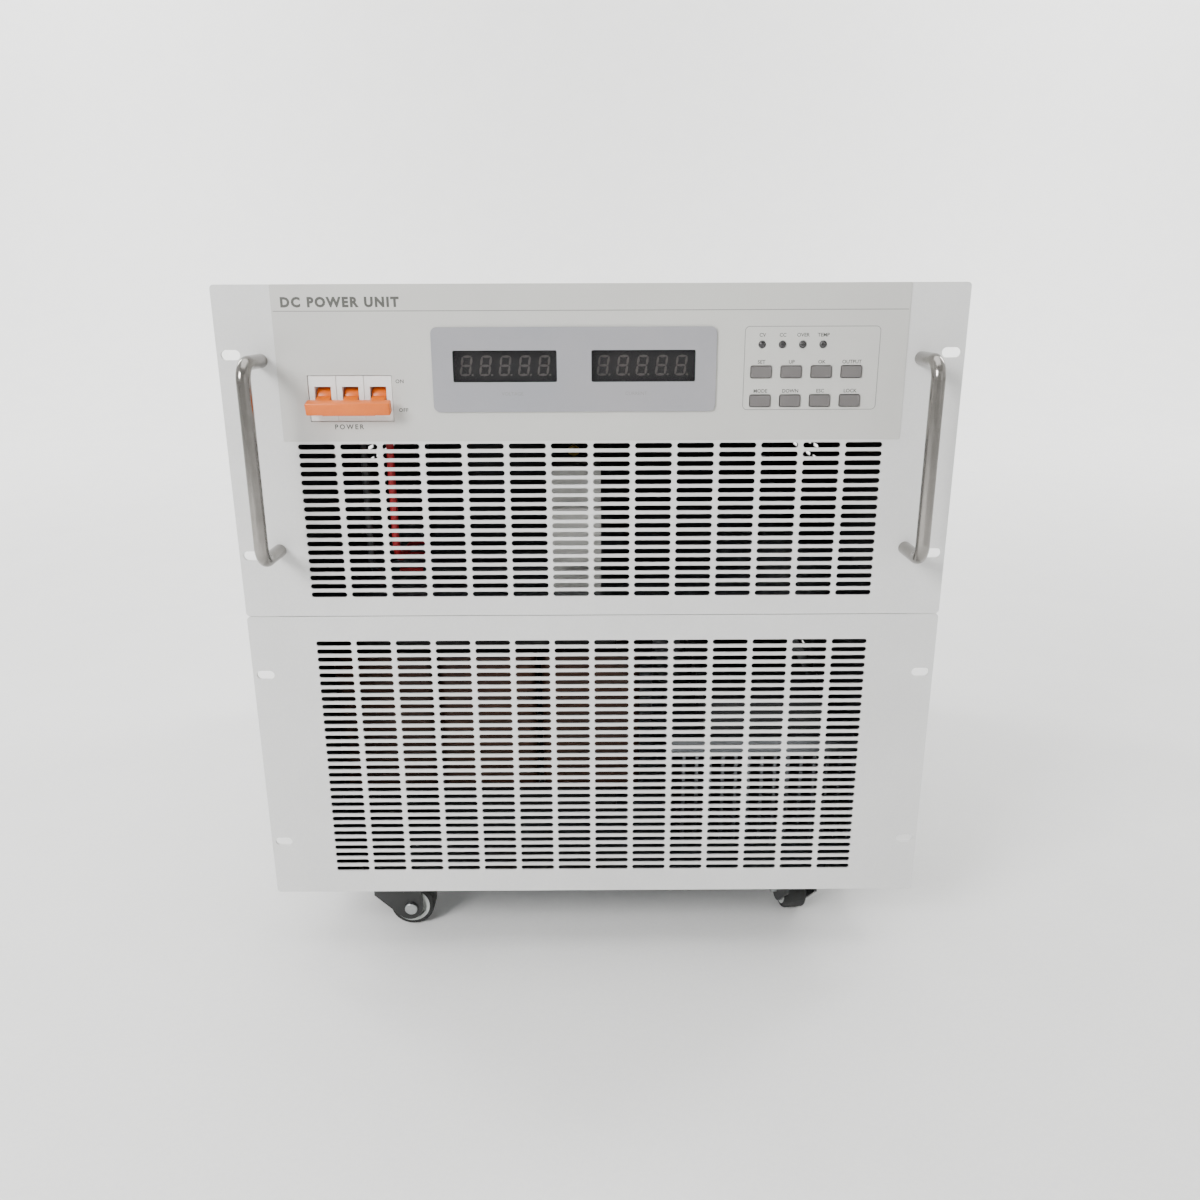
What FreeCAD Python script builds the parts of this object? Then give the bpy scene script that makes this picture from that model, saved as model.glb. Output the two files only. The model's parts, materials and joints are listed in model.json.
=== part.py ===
"""Rack-style DC bench power supply on castors.

Two 19 inch front panels, one above the other, close the front of a sheet steel cabinet. The upper panel
carries the controls: a three-pole breaker, two displays, four lamps, eight keys and two lifting handles.
The lower bay holds the transformer, the heat sink and the fans. Four swivel castors carry it all.

Units are millimetres. +X is to the right of someone facing the controls, +Y runs from the front to the
back, +Z is up. The origin is on the floor, under the middle of the whole object.
"""
import FreeCAD, Part
import math
import os

Vector = FreeCAD.Vector

# ---------------------------------------------------------------- cabinet
RACK_W = 482.6            # width of a 19 inch rack panel
PANEL_H = 220.0           # height of a 5U rack panel
PANEL_T = 2.0             # thickness of the front panels
PANEL_SEAM = 0.5          # gap between the two front panels
PANEL_CORNER = 2.5        # corner radius of the front panels
EAR_W = 21.3              # overhang of the front panels at each side of the case
PANEL_LAP = 1.75          # overhang of the front panels above and below the case
CASE_D = 560.0            # depth of the case, behind the front panels
SHEET_T = 1.5             # side and top sheets
BASE_T = 2.0              # base plate and shelf
REAR_T = 2.0              # rear panel
FLANGE = 16.0             # bent edges of the sheets
POST_LEG = 14.0           # leg of the corner angle posts
POST_T = 1.5              # thickness of the corner angle posts

# ---------------------------------------------------------------- rack slots and vent slots
RACK_SLOT_L = 12.5
RACK_SLOT_H = 6.4
RACK_SLOT_X = 465.1 / RACK_W   # slot spacing as the rack standard gives it, per width of panel
RACK_SLOT_Z = 133.35           # three rack units
VENT_L = 24.8
VENT_H = 3.7
VENT_PITCH_X = 27.9
VENT_X = -1.0             # middle of the vent fields
VENT_PITCH_Z = 6.0
UPPER_VENT_TOP = 102.6    # first row of the upper panel, below the panel's top edge
UPPER_VENT_FOOT = 12.0    # least margin under the last row
LOWER_VENT_TOP = 20.0
LOWER_VENT_FOOT = 16.0

# ---------------------------------------------------------------- control area, down from the top edge
OVERLAY_T = 0.4
OVERLAY_H = 99.0
OVERLAY_GAP = 5.5         # overlay edge to the handle rods
PLATE_W = 183.6           # display plate
PLATE_H = 53.5
PLATE_T = 1.2
PLATE_CORNER = 4.0
PLATE_X = -11.2
PLATE_DOWN = 53.25
WINDOW_W = 67.2           # visible size of each display window
WINDOW_H = 20.0
WINDOW_DOWN = 51.0
WINDOW_PITCH = 89.5
WINDOW_LIP = 2.0          # hidden edge of a window behind the display plate
WINDOW_FIT = 0.2
DISPLAY_T = 8.0           # digit module behind each window
BOARD_GAP = 12.0          # front panel to the control board
BOARD_T = 1.6
BOARD_H = 70.0
BOARD_EDGE = 6.0          # board edge beyond the display plate and the keypad
STANDOFF_R = 3.0
KEYPAD_X = 139.2
KEYPAD_W = 89.5
KEY_W = 13.0
KEY_H = 7.2
KEY_CORNER = 0.8
KEY_EDGE = 0.4            # rounding of the cap's front edge
KEY_STEM = 4.0
KEY_PITCH_X = 19.5
KEY_DOWN = (55.2, 73.6)
KEY_COLUMNS = 4
KEY_PROUD = 1.3           # cap front above the overlay
KEY_TRAVEL = 1.0
KEY_GAP = 0.55            # cap to the edge of its hole
KEY_LIP = 1.1             # retaining lip around the cap
KEY_LIP_T = 1.0
KEY_LIP_GAP = 0.7         # lip to the back of the panel
KEY_STEM_GAP = 0.5        # stem to its switch when the key is fully in
SWITCH_SIZE = 6.0
SWITCH_T = 4.3
LAMP_R = 2.25
LAMP_PITCH = 13.07
LAMP_DOWN = 38.0
LAMP_COUNT = 4
LAMP_PROUD = 1.2
LAMP_GAP = 0.25
LAMP_BEHIND = 3.0         # lamp body behind the panel
LAMP_LEAD_X = 1.27        # lead off the lamp's axis
LAMP_LEAD_R = 0.3

# ---------------------------------------------------------------- three-pole breaker
POLE_W = 18.0
POLES = 3
BREAKER_X = -157.1
BREAKER_DOWN = 71.15
BREAKER_H = 58.0
BREAKER_D = 46.0
NOSE_H = 28.9
NOSE_GAP = 0.4            # nose to the edge of the panel cut-out
TOGGLE_W = 9.5
TOGGLE_PIVOT = 9.0        # pivot behind the panel's front face
TOGGLE_HUB_R = 7.0
TOGGLE_REACH = 22.0       # pivot to the front of the tie bar
TOGGLE_ARM_H = 7.0
TIE_W = 54.4
TIE_H = 8.2
TIE_T = 8.5
TOGGLE_REST = 16.0        # the toggle points this many degrees down when it is off
POCKET_GAP = 0.6
NOSE_SET = 0.2            # nose behind the panel's front face
POLE_GROOVE = 0.5         # width of the grooves between the poles

# ---------------------------------------------------------------- handles
HANDLE_R = 4.5
HANDLE_REACH = 40.0       # panel to the outside of the grip
HANDLE_SPAN = 126.0       # between the two legs
HANDLE_BEND = 11.0
HANDLE_INSET = 5.0        # leg axis in from the inner face of the side sheet
HANDLE_SCREW_R = 2.0
HANDLE_HEAD_R = 3.4
HANDLE_HEAD_H = 3.2
HANDLE_SCREW_L = 14.0     # under the head

# ---------------------------------------------------------------- castors
WHEEL_R = 17.5
WHEEL_W = 18.0
TYRE_T = 3.5
TYRE_FIT = 0.05
AXLE_R = 3.0
RUNNING_FIT = 0.05        # radial clearance of a part that turns on a pin
HOLE_FIT = 0.1            # radial clearance of a pin in a fixed hole
FORK_T = 2.0
FORK_GAP = 1.5            # wheel to the inside of a fork leg
FORK_EYE_R = 10.5         # fork leg around the axle
EYE_SET = 1.5             # middle of the eye ahead of the axle
TRAIL = 17.0              # wheel axle behind the swivel axis
CROWN_R = 18.5
CROWN_H = 4.5
CROWN_GAP = 1.0           # crown to the castor's top plate
WHEEL_CLEAR = 9.0         # wheel to the yoke above it
YOKE_BACK = 12.0          # yoke ahead of the swivel axis
YOKE_LIP = 15.0           # straight edge of a leg below the yoke
CASTOR_PLATE = 48.0
CASTOR_PLATE_T = 2.5
CASTOR_HOLES = 38.0       # spacing of the plate's four screws
KINGPIN_R = 4.0
KINGPIN_HEAD_R = 6.5
KINGPIN_HEAD_H = 2.2
CASTOR_X = 164.0
CASTOR_INSET = 42.0       # swivel axis in from the front of the panels and from the rear panel
CASTOR_HEADINGS = (0.0, 97.0, 235.0, 320.0)   # where the wheels trail, in the order of castor_places

# ---------------------------------------------------------------- screws of the case
SCREW_R = 2.0
SCREW_HEAD_R = 3.8
SCREW_HEAD_H = 2.4
SCREW_L = 7.0
SCREW_HOLE_R = 2.2
SCREW_INSET = 8.0         # screw axis in from the outer edge of a sheet

# ---------------------------------------------------------------- lower bay
FAN_SIZE = 150.0
FAN_D = 50.0
FAN_BORE_R = 72.0
FAN_TIP_GAP = 2.0
FAN_HUB_R = 30.0
FAN_BLADES = 7
FAN_BLADE_T = 2.5
FAN_BLADE_CHORD = 34.0
FAN_BLADE_ANGLE = 40.0
FAN_SHAFT_R = 2.5
FAN_HOLES = 138.0
FAN_X = 98.0
FAN_FOOT = 12.0           # base plate to the fan frames
CORE_LEG = 42.0
CORE_D = 90.0
CORE_H = 190.0
CORE_YOKE = 35.0
COIL_T = 18.0
COIL_GAP = 1.0
CORE_Y = 150.0            # behind the front panels
SINK_W = 150.0
SINK_D = 250.0
SINK_H = 90.0
SINK_PLATE_T = 12.0
SINK_FIN_T = 2.5
SINK_FINS = 15
SINK_Y = 190.0
MODULE_W = 94.0
MODULE_D = 44.0
MODULE_H = 30.0
MODULE_COUNT = 4
CAPACITOR_R = 25.0
CAPACITOR_H = 105.0
CAPACITOR_PITCH = 58.0
CAPACITOR_Y = 320.0
BAY_GAP = 8.0             # side sheets to the parts that stand beside them

# ---------------------------------------------------------------- upper bay and rear connections
CONTACTOR_W = 36.0
CONTACTOR_D = 80.0
CONTACTOR_H = 92.0
CONTACTOR_STEP = 16.0
CONTACTOR_X = -12.0
CONTACTOR_Y = 84.0
TERMINAL_DOWN = 150.0     # input block and output bars below the panel's top edge
BLOCK_X = -120.0
BLOCK_WAYS = 4
BLOCK_WAY_W = 24.0
BLOCK_BARRIER_T = 3.0
BLOCK_H = 40.0
BLOCK_D = 14.0
BLOCK_BARRIER_D = 28.0
BLOCK_SCREW_R = 4.0
BLOCK_SCREW_H = 3.0
BAR_W = 40.0
BAR_T = 6.0
BAR_REACH = 40.0          # bars behind the rear panel
BAR_INSIDE = 120.0
BAR_X = (70.0, 160.0)
BAR_HOLE_R = 5.5
BAR_HOLE_IN = 15.0        # hole in from the end of the bar
BAR_FIT = 0.4
INSULATOR_W = 170.0
INSULATOR_H = 60.0
INSULATOR_T = 8.0
INSULATOR_LAP = 10.0      # insulator beyond the panel cut-out
STUD_R = 4.0
STUD_OUT = 24.0
STUD_IN = 12.0
STUD_NUT_R = 7.5
STUD_NUT_H = 6.5
STUD_X = -25.0
STUD_DOWN = 185.0
WIRE_R = 2.6
WIRE_BEND = 18.0
WIRE_GRIP = 6.0           # wire end inside a terminal

# ---------------------------------------------------------------- derived places
CROWN_LOW = 2 * WHEEL_R + WHEEL_CLEAR + FORK_T              # underside of a castor's crown
CASTOR_H = CROWN_LOW + CROWN_H + CROWN_GAP + CASTOR_PLATE_T  # floor to the underside of the case
CASE_W = RACK_W - 2 * EAR_W
STACK_H = 2 * PANEL_H + PANEL_SEAM
CASE_H = STACK_H - 2 * PANEL_LAP
TOTAL_D = HANDLE_REACH + PANEL_T + CASE_D + BAR_REACH
Y_FRONT = HANDLE_REACH - TOTAL_D / 2      # front face of the front panels
Y_CASE = Y_FRONT + PANEL_T                # back of the front panels
Y_REAR = Y_CASE + CASE_D                  # outer face of the rear panel
Y_INSIDE = Y_REAR - REAR_T                # inner face of the rear panel
Z_CASE = CASTOR_H
Z_TOP = Z_CASE + CASE_H
Z_FLOOR = Z_CASE + BASE_T                 # top of the base plate
Z_PANELS = Z_CASE - PANEL_LAP
Z_PANEL_TOP = Z_PANELS + STACK_H
Z_LOWER_TOP = Z_PANELS + PANEL_H
Z_SHELF = Z_LOWER_TOP + PANEL_SEAM / 2    # top of the shelf between the bays
X_INSIDE = CASE_W / 2 - SHEET_T           # inner face of the side sheets
POST_TOP = Z_TOP - 2 * SHEET_T
HANDLE_X = X_INSIDE - HANDLE_INSET
OVERLAY_W = 2 * (HANDLE_X - HANDLE_R - OVERLAY_GAP)
VENT_COLUMNS = int((2 * (X_INSIDE - POST_LEG) + VENT_PITCH_X - VENT_L) / VENT_PITCH_X)
SIDE_SCREW_Z = [Z_CASE + CASE_H * share for share in (0.12, 0.38, 0.62, 0.88)]
FLANGE_SCREW_Y = [Y_CASE + CASE_D * share for share in (0.2, 0.5, 0.8)]
FAN_Z = Z_FLOOR + FAN_FOOT + FAN_SIZE / 2
TERMINAL_Z = Z_PANEL_TOP - TERMINAL_DOWN
SINK_TOP = Z_FLOOR + SINK_H
SINK_X = X_INSIDE - BAY_GAP - SINK_W / 2
CORE_X = -X_INSIDE + BAY_GAP + 2.5 * CORE_LEG + COIL_GAP + COIL_T
CAPACITOR_X = -X_INSIDE + 3 * BAY_GAP + CAPACITOR_PITCH + CAPACITOR_R
BREAKER_W = POLES * POLE_W
BREAKER_Z = Z_PANEL_TOP - BREAKER_DOWN


# ---------------------------------------------------------------- helpers
def box(low, high):
    """Solid box between two corners."""
    size = [b - a for a, b in zip(low, high)]
    return Part.makeBox(size[0], size[1], size[2], Vector(*low))


def cylinder(radius, start, direction, length):
    """Solid cylinder from a start point along a direction."""
    return Part.makeCylinder(radius, length, Vector(*start), Vector(*direction))


def hexagon(radius, start, direction, length):
    """Solid hexagonal bar, such as a nut without its thread, along a direction."""
    axis = Vector(*direction)
    across = Vector(0, 0, 1) if abs(axis.z) < 0.5 else Vector(1, 0, 0)
    other = axis.cross(across)
    centre = Vector(*start)
    corners = []
    for step in range(7):
        turn = math.radians(60 * step)
        corners.append(centre + across * (radius * math.cos(turn)) + other * (radius * math.sin(turn)))
    return Part.Face(Part.makePolygon(corners)).extrude(axis * length)


def obround(x, y, z, length, height):
    """Wire of a slot with round ends that runs along X, in the plane at y."""
    r = height / 2
    half = length / 2 - r
    low_left = Vector(x - half, y, z - r)
    low_right = Vector(x + half, y, z - r)
    high_right = Vector(x + half, y, z + r)
    high_left = Vector(x - half, y, z + r)
    return Part.Wire([
        Part.makeLine(low_left, low_right),
        Part.Arc(low_right, Vector(x + half + r, y, z), high_right).toShape(),
        Part.makeLine(high_right, high_left),
        Part.Arc(high_left, Vector(x - half - r, y, z), low_left).toShape(),
    ])


def rounded(x, y, z, width, height, radius):
    """Wire of a rectangle with rounded corners, in the plane at y."""
    w = width / 2
    h = height / 2
    lean = radius * (1 - math.sqrt(0.5))
    edges = []
    corners = ((1, 1), (-1, 1), (-1, -1), (1, -1))
    starts = []
    ends = []
    for index, (sx, sz) in enumerate(corners):
        on_side = Vector(x + sx * w, y, z + sz * (h - radius))
        on_edge = Vector(x + sx * (w - radius), y, z + sz * h)
        first, last = (on_side, on_edge) if index % 2 == 0 else (on_edge, on_side)
        middle = Vector(x + sx * (w - lean), y, z + sz * (h - lean))
        starts.append(first)
        ends.append(last)
        edges.append(Part.Arc(first, middle, last).toShape())
    for index in range(4):
        edges.append(Part.makeLine(ends[index], starts[(index + 1) % 4]))
    return Part.Wire(Part.__sortEdges__(edges))


def rectangle(x, y, z, width, height):
    """Wire of a rectangle with sharp corners, in the plane at y."""
    w = width / 2
    h = height / 2
    corners = [(x - w, z - h), (x + w, z - h), (x + w, z + h), (x - w, z + h), (x - w, z - h)]
    return Part.makePolygon([Vector(a, y, b) for a, b in corners])


def circle(x, y, z, radius):
    """Wire of a round hole, in the plane at y."""
    return Part.Wire(Part.makeCircle(radius, Vector(x, y, z), Vector(0, 1, 0)))


def sheet(outline, holes, thickness):
    """Flat sheet with holes: the wires lie in one plane and the sheet grows from it along +Y."""
    face = Part.makeFace([outline] + holes, "Part::FaceMakerBullseye")
    return face.extrude(Vector(0, thickness, 0)).Solids[0]


def turned(shape):
    """The same shape turned a quarter turn about Z, so that its +X becomes +Y and its +Y becomes -X."""
    return shape.rotated(Vector(0, 0, 0), Vector(0, 0, 1), 90)


def joined(shapes):
    """One solid made of touching or overlapping solids."""
    return shapes[0].fuse(shapes[1:]).removeSplitter()


def bent_path(points, bend):
    """Straight runs through the points, joined by tangent arcs of one radius."""
    corners = [Vector(*point) for point in points]
    edges = []
    start = corners[0]
    for before, corner, after in zip(corners, corners[1:], corners[2:]):
        into = Vector(corner - before).normalize()
        out = Vector(after - corner).normalize()
        half_turn = into.getAngle(out) / 2
        setback = bend * math.tan(half_turn)
        arc_start = corner - into * setback
        arc_end = corner + out * setback
        towards = Vector(out - into).normalize()
        middle = corner + towards * (bend / math.cos(half_turn) - bend)
        edges.append(Part.makeLine(start, arc_start))
        edges.append(Part.Arc(arc_start, middle, arc_end).toShape())
        start = arc_end
    edges.append(Part.makeLine(start, corners[-1]))
    return Part.Wire(edges)


def rod(points, bend, radius):
    """Round bar or wire along straight runs and tangent arcs."""
    path = bent_path(points, bend)
    first = path.Edges[0]
    start = first.valueAt(first.FirstParameter)
    direction = first.tangentAt(first.FirstParameter)
    profile = Part.Wire(Part.makeCircle(radius, start, direction))
    return path.makePipeShell([profile], True, False).Solids[0]


def save(name, shapes):
    """Write one node: a single solid, or a group of separate solids."""
    group = shapes if isinstance(shapes, list) else [shapes]
    shape = group[0] if len(group) == 1 else Part.makeCompound(group)
    shape.exportStep(os.path.join("parts", name + ".step"))


# ---------------------------------------------------------------- front panels
def rack_slots(z_middle):
    """Four slots in the ears of a front panel."""
    x = RACK_W * RACK_SLOT_X / 2
    z = RACK_SLOT_Z / 2
    places = [(side * x, z_middle + end * z) for side in (-1, 1) for end in (-1, 1)]
    return [obround(a, Y_FRONT, b, RACK_SLOT_L, RACK_SLOT_H) for a, b in places]


def vent_slots(z_first, z_last_allowed):
    """Field of vent slots, from the first row down to the lowest row that fits."""
    rows = int((z_first - z_last_allowed) / VENT_PITCH_Z) + 1
    slots = []
    for row in range(rows):
        for column in range(VENT_COLUMNS):
            x = VENT_X + (column - (VENT_COLUMNS - 1) / 2) * VENT_PITCH_X
            slots.append(obround(x, Y_FRONT, z_first - row * VENT_PITCH_Z, VENT_L, VENT_H))
    return slots


def handle_places():
    """Leg axes of both handles: x and z."""
    z = Z_PANEL_TOP - PANEL_H / 2
    return [(side * HANDLE_X, z + end * HANDLE_SPAN / 2) for side in (-1, 1) for end in (-1, 1)]


def window_places():
    """Centres of the two display windows: x and z."""
    z = Z_PANEL_TOP - WINDOW_DOWN
    return [(PLATE_X + side * WINDOW_PITCH / 2, z) for side in (-1, 1)]


def key_places():
    """Centres of the keys, row by row: x and z."""
    first = KEYPAD_X - KEY_PITCH_X * (KEY_COLUMNS - 1) / 2
    columns = [first + KEY_PITCH_X * column for column in range(KEY_COLUMNS)]
    return [(x, Z_PANEL_TOP - down) for down in KEY_DOWN for x in columns]


def lamp_places():
    """Centres of the indicator lamps: x and z. The first one stands over the first key."""
    first = KEYPAD_X - KEY_PITCH_X * (KEY_COLUMNS - 1) / 2
    return [(first + LAMP_PITCH * index, Z_PANEL_TOP - LAMP_DOWN) for index in range(LAMP_COUNT)]


def control_holes(y):
    """Holes that the overlay and the upper panel share: windows, keys, lamps and breaker."""
    window_w = WINDOW_W + 2 * (WINDOW_LIP + WINDOW_FIT)
    window_h = WINDOW_H + 2 * (WINDOW_LIP + WINDOW_FIT)
    holes = [rectangle(x, y, z, window_w, window_h) for x, z in window_places()]
    key_w = KEY_W + 2 * KEY_GAP
    key_h = KEY_H + 2 * KEY_GAP
    holes += [rounded(x, y, z, key_w, key_h, KEY_GAP + KEY_CORNER) for x, z in key_places()]
    holes += [circle(x, y, z, LAMP_R + LAMP_GAP) for x, z in lamp_places()]
    holes.append(rectangle(BREAKER_X, y, BREAKER_Z, BREAKER_W + 2 * NOSE_GAP, NOSE_H + 2 * NOSE_GAP))
    return holes


def board_edges():
    """Left and right edges of the control board."""
    left = PLATE_X - PLATE_W / 2 - BOARD_EDGE
    right = KEYPAD_X + KEYPAD_W / 2 + BOARD_EDGE
    return left, right


def standoff_places():
    """Standoffs near the corners of the control board: x and z."""
    left, right = board_edges()
    z = Z_PANEL_TOP - PLATE_DOWN
    reach = BOARD_H / 2 - STANDOFF_R - 0.5
    xs = (left + STANDOFF_R + 0.5, right - STANDOFF_R - 0.5)
    return [(x, z + end * reach) for x in xs for end in (-1, 1)]


def upper_front_panel():
    """Upper 5U panel: cut-outs for the controls, vent slots and rack slots."""
    z_middle = Z_PANEL_TOP - PANEL_H / 2
    outline = rounded(0, Y_FRONT, z_middle, RACK_W, PANEL_H, PANEL_CORNER)
    holes = control_holes(Y_FRONT) + rack_slots(z_middle)
    holes += [circle(x, Y_FRONT, z, HANDLE_SCREW_R + HOLE_FIT) for x, z in handle_places()]
    holes += vent_slots(Z_PANEL_TOP - UPPER_VENT_TOP, Z_PANEL_TOP - PANEL_H + UPPER_VENT_FOOT)
    return sheet(outline, holes, PANEL_T)


def lower_front_panel():
    """Lower 5U panel: one large field of vent slots and the rack slots."""
    z_middle = Z_LOWER_TOP - PANEL_H / 2
    outline = rounded(0, Y_FRONT, z_middle, RACK_W, PANEL_H, PANEL_CORNER)
    holes = rack_slots(z_middle)
    holes += vent_slots(Z_LOWER_TOP - LOWER_VENT_TOP, Z_PANELS + LOWER_VENT_FOOT)
    return sheet(outline, holes, PANEL_T)


def control_overlay():
    """Thin label sheet that covers the control area between the handles."""
    y = Y_FRONT - OVERLAY_T
    outline = rounded(0, y, Z_PANEL_TOP - OVERLAY_H / 2, OVERLAY_W, OVERLAY_H, 1.0)
    return sheet(outline, control_holes(y), OVERLAY_T)


def display_plate():
    """Rounded bezel plate with the two window openings."""
    y = Y_FRONT - OVERLAY_T - PLATE_T
    outline = rounded(PLATE_X, y, Z_PANEL_TOP - PLATE_DOWN, PLATE_W, PLATE_H, PLATE_CORNER)
    holes = [rounded(x, y, z, WINDOW_W, WINDOW_H, 1.0) for x, z in window_places()]
    return sheet(outline, holes, PLATE_T)


def display_windows():
    """Two smoked windows, held by their hidden edges behind the display plate."""
    windows = []
    for x, z in window_places():
        half_w = WINDOW_W / 2 + WINDOW_LIP
        half_h = WINDOW_H / 2 + WINDOW_LIP
        windows.append(box((x - half_w, Y_FRONT - OVERLAY_T, z - half_h), (x + half_w, Y_CASE, z + half_h)))
    return windows


def display_modules():
    """Two five-digit display modules on the control board."""
    y = Y_CASE + BOARD_GAP
    modules = []
    for x, z in window_places():
        low = (x - WINDOW_W / 2, y - DISPLAY_T, z - WINDOW_H / 2)
        modules.append(box(low, (x + WINDOW_W / 2, y, z + WINDOW_H / 2)))
    return modules


def control_board():
    """Circuit board behind the control area, with its standoffs and a small push switch behind each key."""
    left, right = board_edges()
    y = Y_CASE + BOARD_GAP
    z = Z_PANEL_TOP - PLATE_DOWN
    board = box((left, y, z - BOARD_H / 2), (right, y + BOARD_T, z + BOARD_H / 2))
    half = SWITCH_SIZE / 2
    pieces = [board]
    for x, key_z in key_places():
        pieces.append(box((x - half, y - SWITCH_T, key_z - half), (x + half, y, key_z + half)))
    for x, stud_z in standoff_places():
        pieces.append(cylinder(STANDOFF_R, (x, Y_CASE, stud_z), (0, 1, 0), BOARD_GAP))
    return joined(pieces)


def status_leds():
    """Four round indicator lamps with their leads to the control board."""
    lamps = []
    front = Y_FRONT - OVERLAY_T - LAMP_PROUD + LAMP_R / 2
    back = Y_CASE + LAMP_BEHIND
    for x, z in lamp_places():
        body = cylinder(LAMP_R, (x, front, z), (0, 1, 0), back - front)
        dome = Part.makeSphere(LAMP_R, Vector(x, front, z))
        squash = FreeCAD.Matrix()
        squash.move(Vector(0, -front, 0))
        squash.scale(1, 0.5, 1)
        squash.move(Vector(0, front, 0))
        leads = []
        for side in (-1, 1):
            start = (x + side * LAMP_LEAD_X, back, z)
            leads.append(cylinder(LAMP_LEAD_R, start, (0, 1, 0), Y_CASE + BOARD_GAP - back))
        lamps.append(joined([body, dome.transformGeometry(squash)] + leads))
    return lamps


def key_cap(x, z):
    """One key: a rounded cap, the lip that keeps it behind the panel, and its stem."""
    front = Y_FRONT - OVERLAY_T - KEY_PROUD
    lip_front = Y_CASE + KEY_LIP_GAP
    lip_back = lip_front + KEY_LIP_T
    stem_back = Y_CASE + BOARD_GAP - SWITCH_T - KEY_TRAVEL - KEY_STEM_GAP
    cap = sheet(rounded(x, front, z, KEY_W, KEY_H, KEY_CORNER), [], lip_back - front)
    lip_outline = rounded(x, lip_front, z, KEY_W + 2 * KEY_LIP, KEY_H + 2 * KEY_LIP, KEY_CORNER)
    lip = sheet(lip_outline, [], KEY_LIP_T)
    half = KEY_STEM / 2
    stem = box((x - half, lip_back, z - half), (x + half, stem_back, z + half))
    edges = [edge for edge in cap.Edges if edge.BoundBox.YMax < front + 0.01]
    return joined([cap.makeFillet(KEY_EDGE, edges), lip, stem])


# ---------------------------------------------------------------- breaker
def pole_places():
    """Middles of the breaker's poles along X."""
    return [BREAKER_X + (pole - (POLES - 1) / 2) * POLE_W for pole in range(POLES)]


def toggle_pockets():
    """Spaces in the breaker's nose in which the three toggles swing."""
    y = Y_FRONT + TOGGLE_PIVOT
    width = TOGGLE_W / 2 + POCKET_GAP
    deep = y + TOGGLE_HUB_R + POCKET_GAP
    reach = TOGGLE_HUB_R + POCKET_GAP
    pockets = []
    for x in pole_places():
        low = (x - width, Y_FRONT - 1, BREAKER_Z - reach)
        pockets.append(box(low, (x + width, deep, BREAKER_Z + reach)))
    return pockets


def breaker_body():
    """Moulded body of the three-pole breaker, its nose flush in the panel cut-out."""
    left = BREAKER_X - BREAKER_W / 2
    right = BREAKER_X + BREAKER_W / 2
    back = Y_CASE + BREAKER_D
    nose_low = BREAKER_Z - NOSE_H / 2
    nose_high = BREAKER_Z + NOSE_H / 2
    body_low = (left, Y_CASE + POCKET_GAP, BREAKER_Z - BREAKER_H / 2)
    body = box(body_low, (right, back, BREAKER_Z + BREAKER_H / 2))
    nose = box((left, Y_FRONT + NOSE_SET, nose_low), (right, back, nose_high))
    cuts = toggle_pockets()
    for pole in range(1, POLES):
        x = left + pole * POLE_W - POLE_GROOVE / 2
        cuts.append(box((x, Y_FRONT, nose_low), (x + POLE_GROOVE, Y_FRONT + 1.0, nose_high)))
    for x in pole_places():
        for end in (-1, 1):
            mouth = (x, Y_CASE + BREAKER_D / 2, BREAKER_Z + end * BREAKER_H / 2)
            cuts.append(cylinder(WIRE_R + HOLE_FIT, mouth, (0, 0, -end), WIRE_GRIP + 4))
    return joined([body, nose]).cut(cuts)


def breaker_toggle():
    """Three toggles on one pivot line, joined in front by the tie bar, pointing down when off."""
    y = Y_FRONT + TOGGLE_PIVOT
    z = BREAKER_Z
    front = y - TOGGLE_REACH
    pieces = []
    for x in pole_places():
        low = x - TOGGLE_W / 2
        pieces.append(cylinder(TOGGLE_HUB_R, (low, y, z), (1, 0, 0), TOGGLE_W))
        arm_high = (low + TOGGLE_W, y, z + TOGGLE_ARM_H / 2)
        pieces.append(box((low, front + 2, z - TOGGLE_ARM_H / 2), arm_high))
    half = TIE_W / 2
    bar_outline = [
        Vector(BREAKER_X - half, front, z - TIE_H / 2 + 1.5),
        Vector(BREAKER_X - half, front, z + TIE_H / 2 - 1.0),
        Vector(BREAKER_X - half, front + 1.2, z + TIE_H / 2),
        Vector(BREAKER_X - half, front + TIE_T, z + TIE_H / 2),
        Vector(BREAKER_X - half, front + TIE_T, z - TIE_H / 2),
        Vector(BREAKER_X - half, front + 2.0, z - TIE_H / 2),
    ]
    bar = Part.Face(Part.makePolygon(bar_outline + [bar_outline[0]])).extrude(Vector(TIE_W, 0, 0))
    toggle = joined(pieces + [bar])
    return toggle.rotated(Vector(BREAKER_X, y, z), Vector(1, 0, 0), TOGGLE_REST)


# ---------------------------------------------------------------- handles
def handle(side):
    """One bow handle, tapped at both ends."""
    x = side * HANDLE_X
    y = Y_FRONT - HANDLE_REACH + HANDLE_R
    z = Z_PANEL_TOP - PANEL_H / 2
    low = z - HANDLE_SPAN / 2
    high = z + HANDLE_SPAN / 2
    bow = rod([(x, Y_FRONT, low), (x, y, low), (x, y, high), (x, Y_FRONT, high)], HANDLE_BEND, HANDLE_R)
    depth = HANDLE_SCREW_L - PANEL_T - POST_T + 1.0
    tap_r = HANDLE_SCREW_R + HOLE_FIT
    return bow.cut([cylinder(tap_r, (x, Y_FRONT, end), (0, -1, 0), depth) for end in (low, high)])


def handle_screws():
    """Four cap screws that clamp the handles, the upper panel and the front posts together."""
    screws = []
    head_y = Y_CASE + POST_T
    for x, z in handle_places():
        head = cylinder(HANDLE_HEAD_R, (x, head_y, z), (0, 1, 0), HANDLE_HEAD_H)
        shank = cylinder(HANDLE_SCREW_R, (x, head_y, z), (0, -1, 0), HANDLE_SCREW_L)
        screws.append(joined([head, shank]))
    return screws


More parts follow.
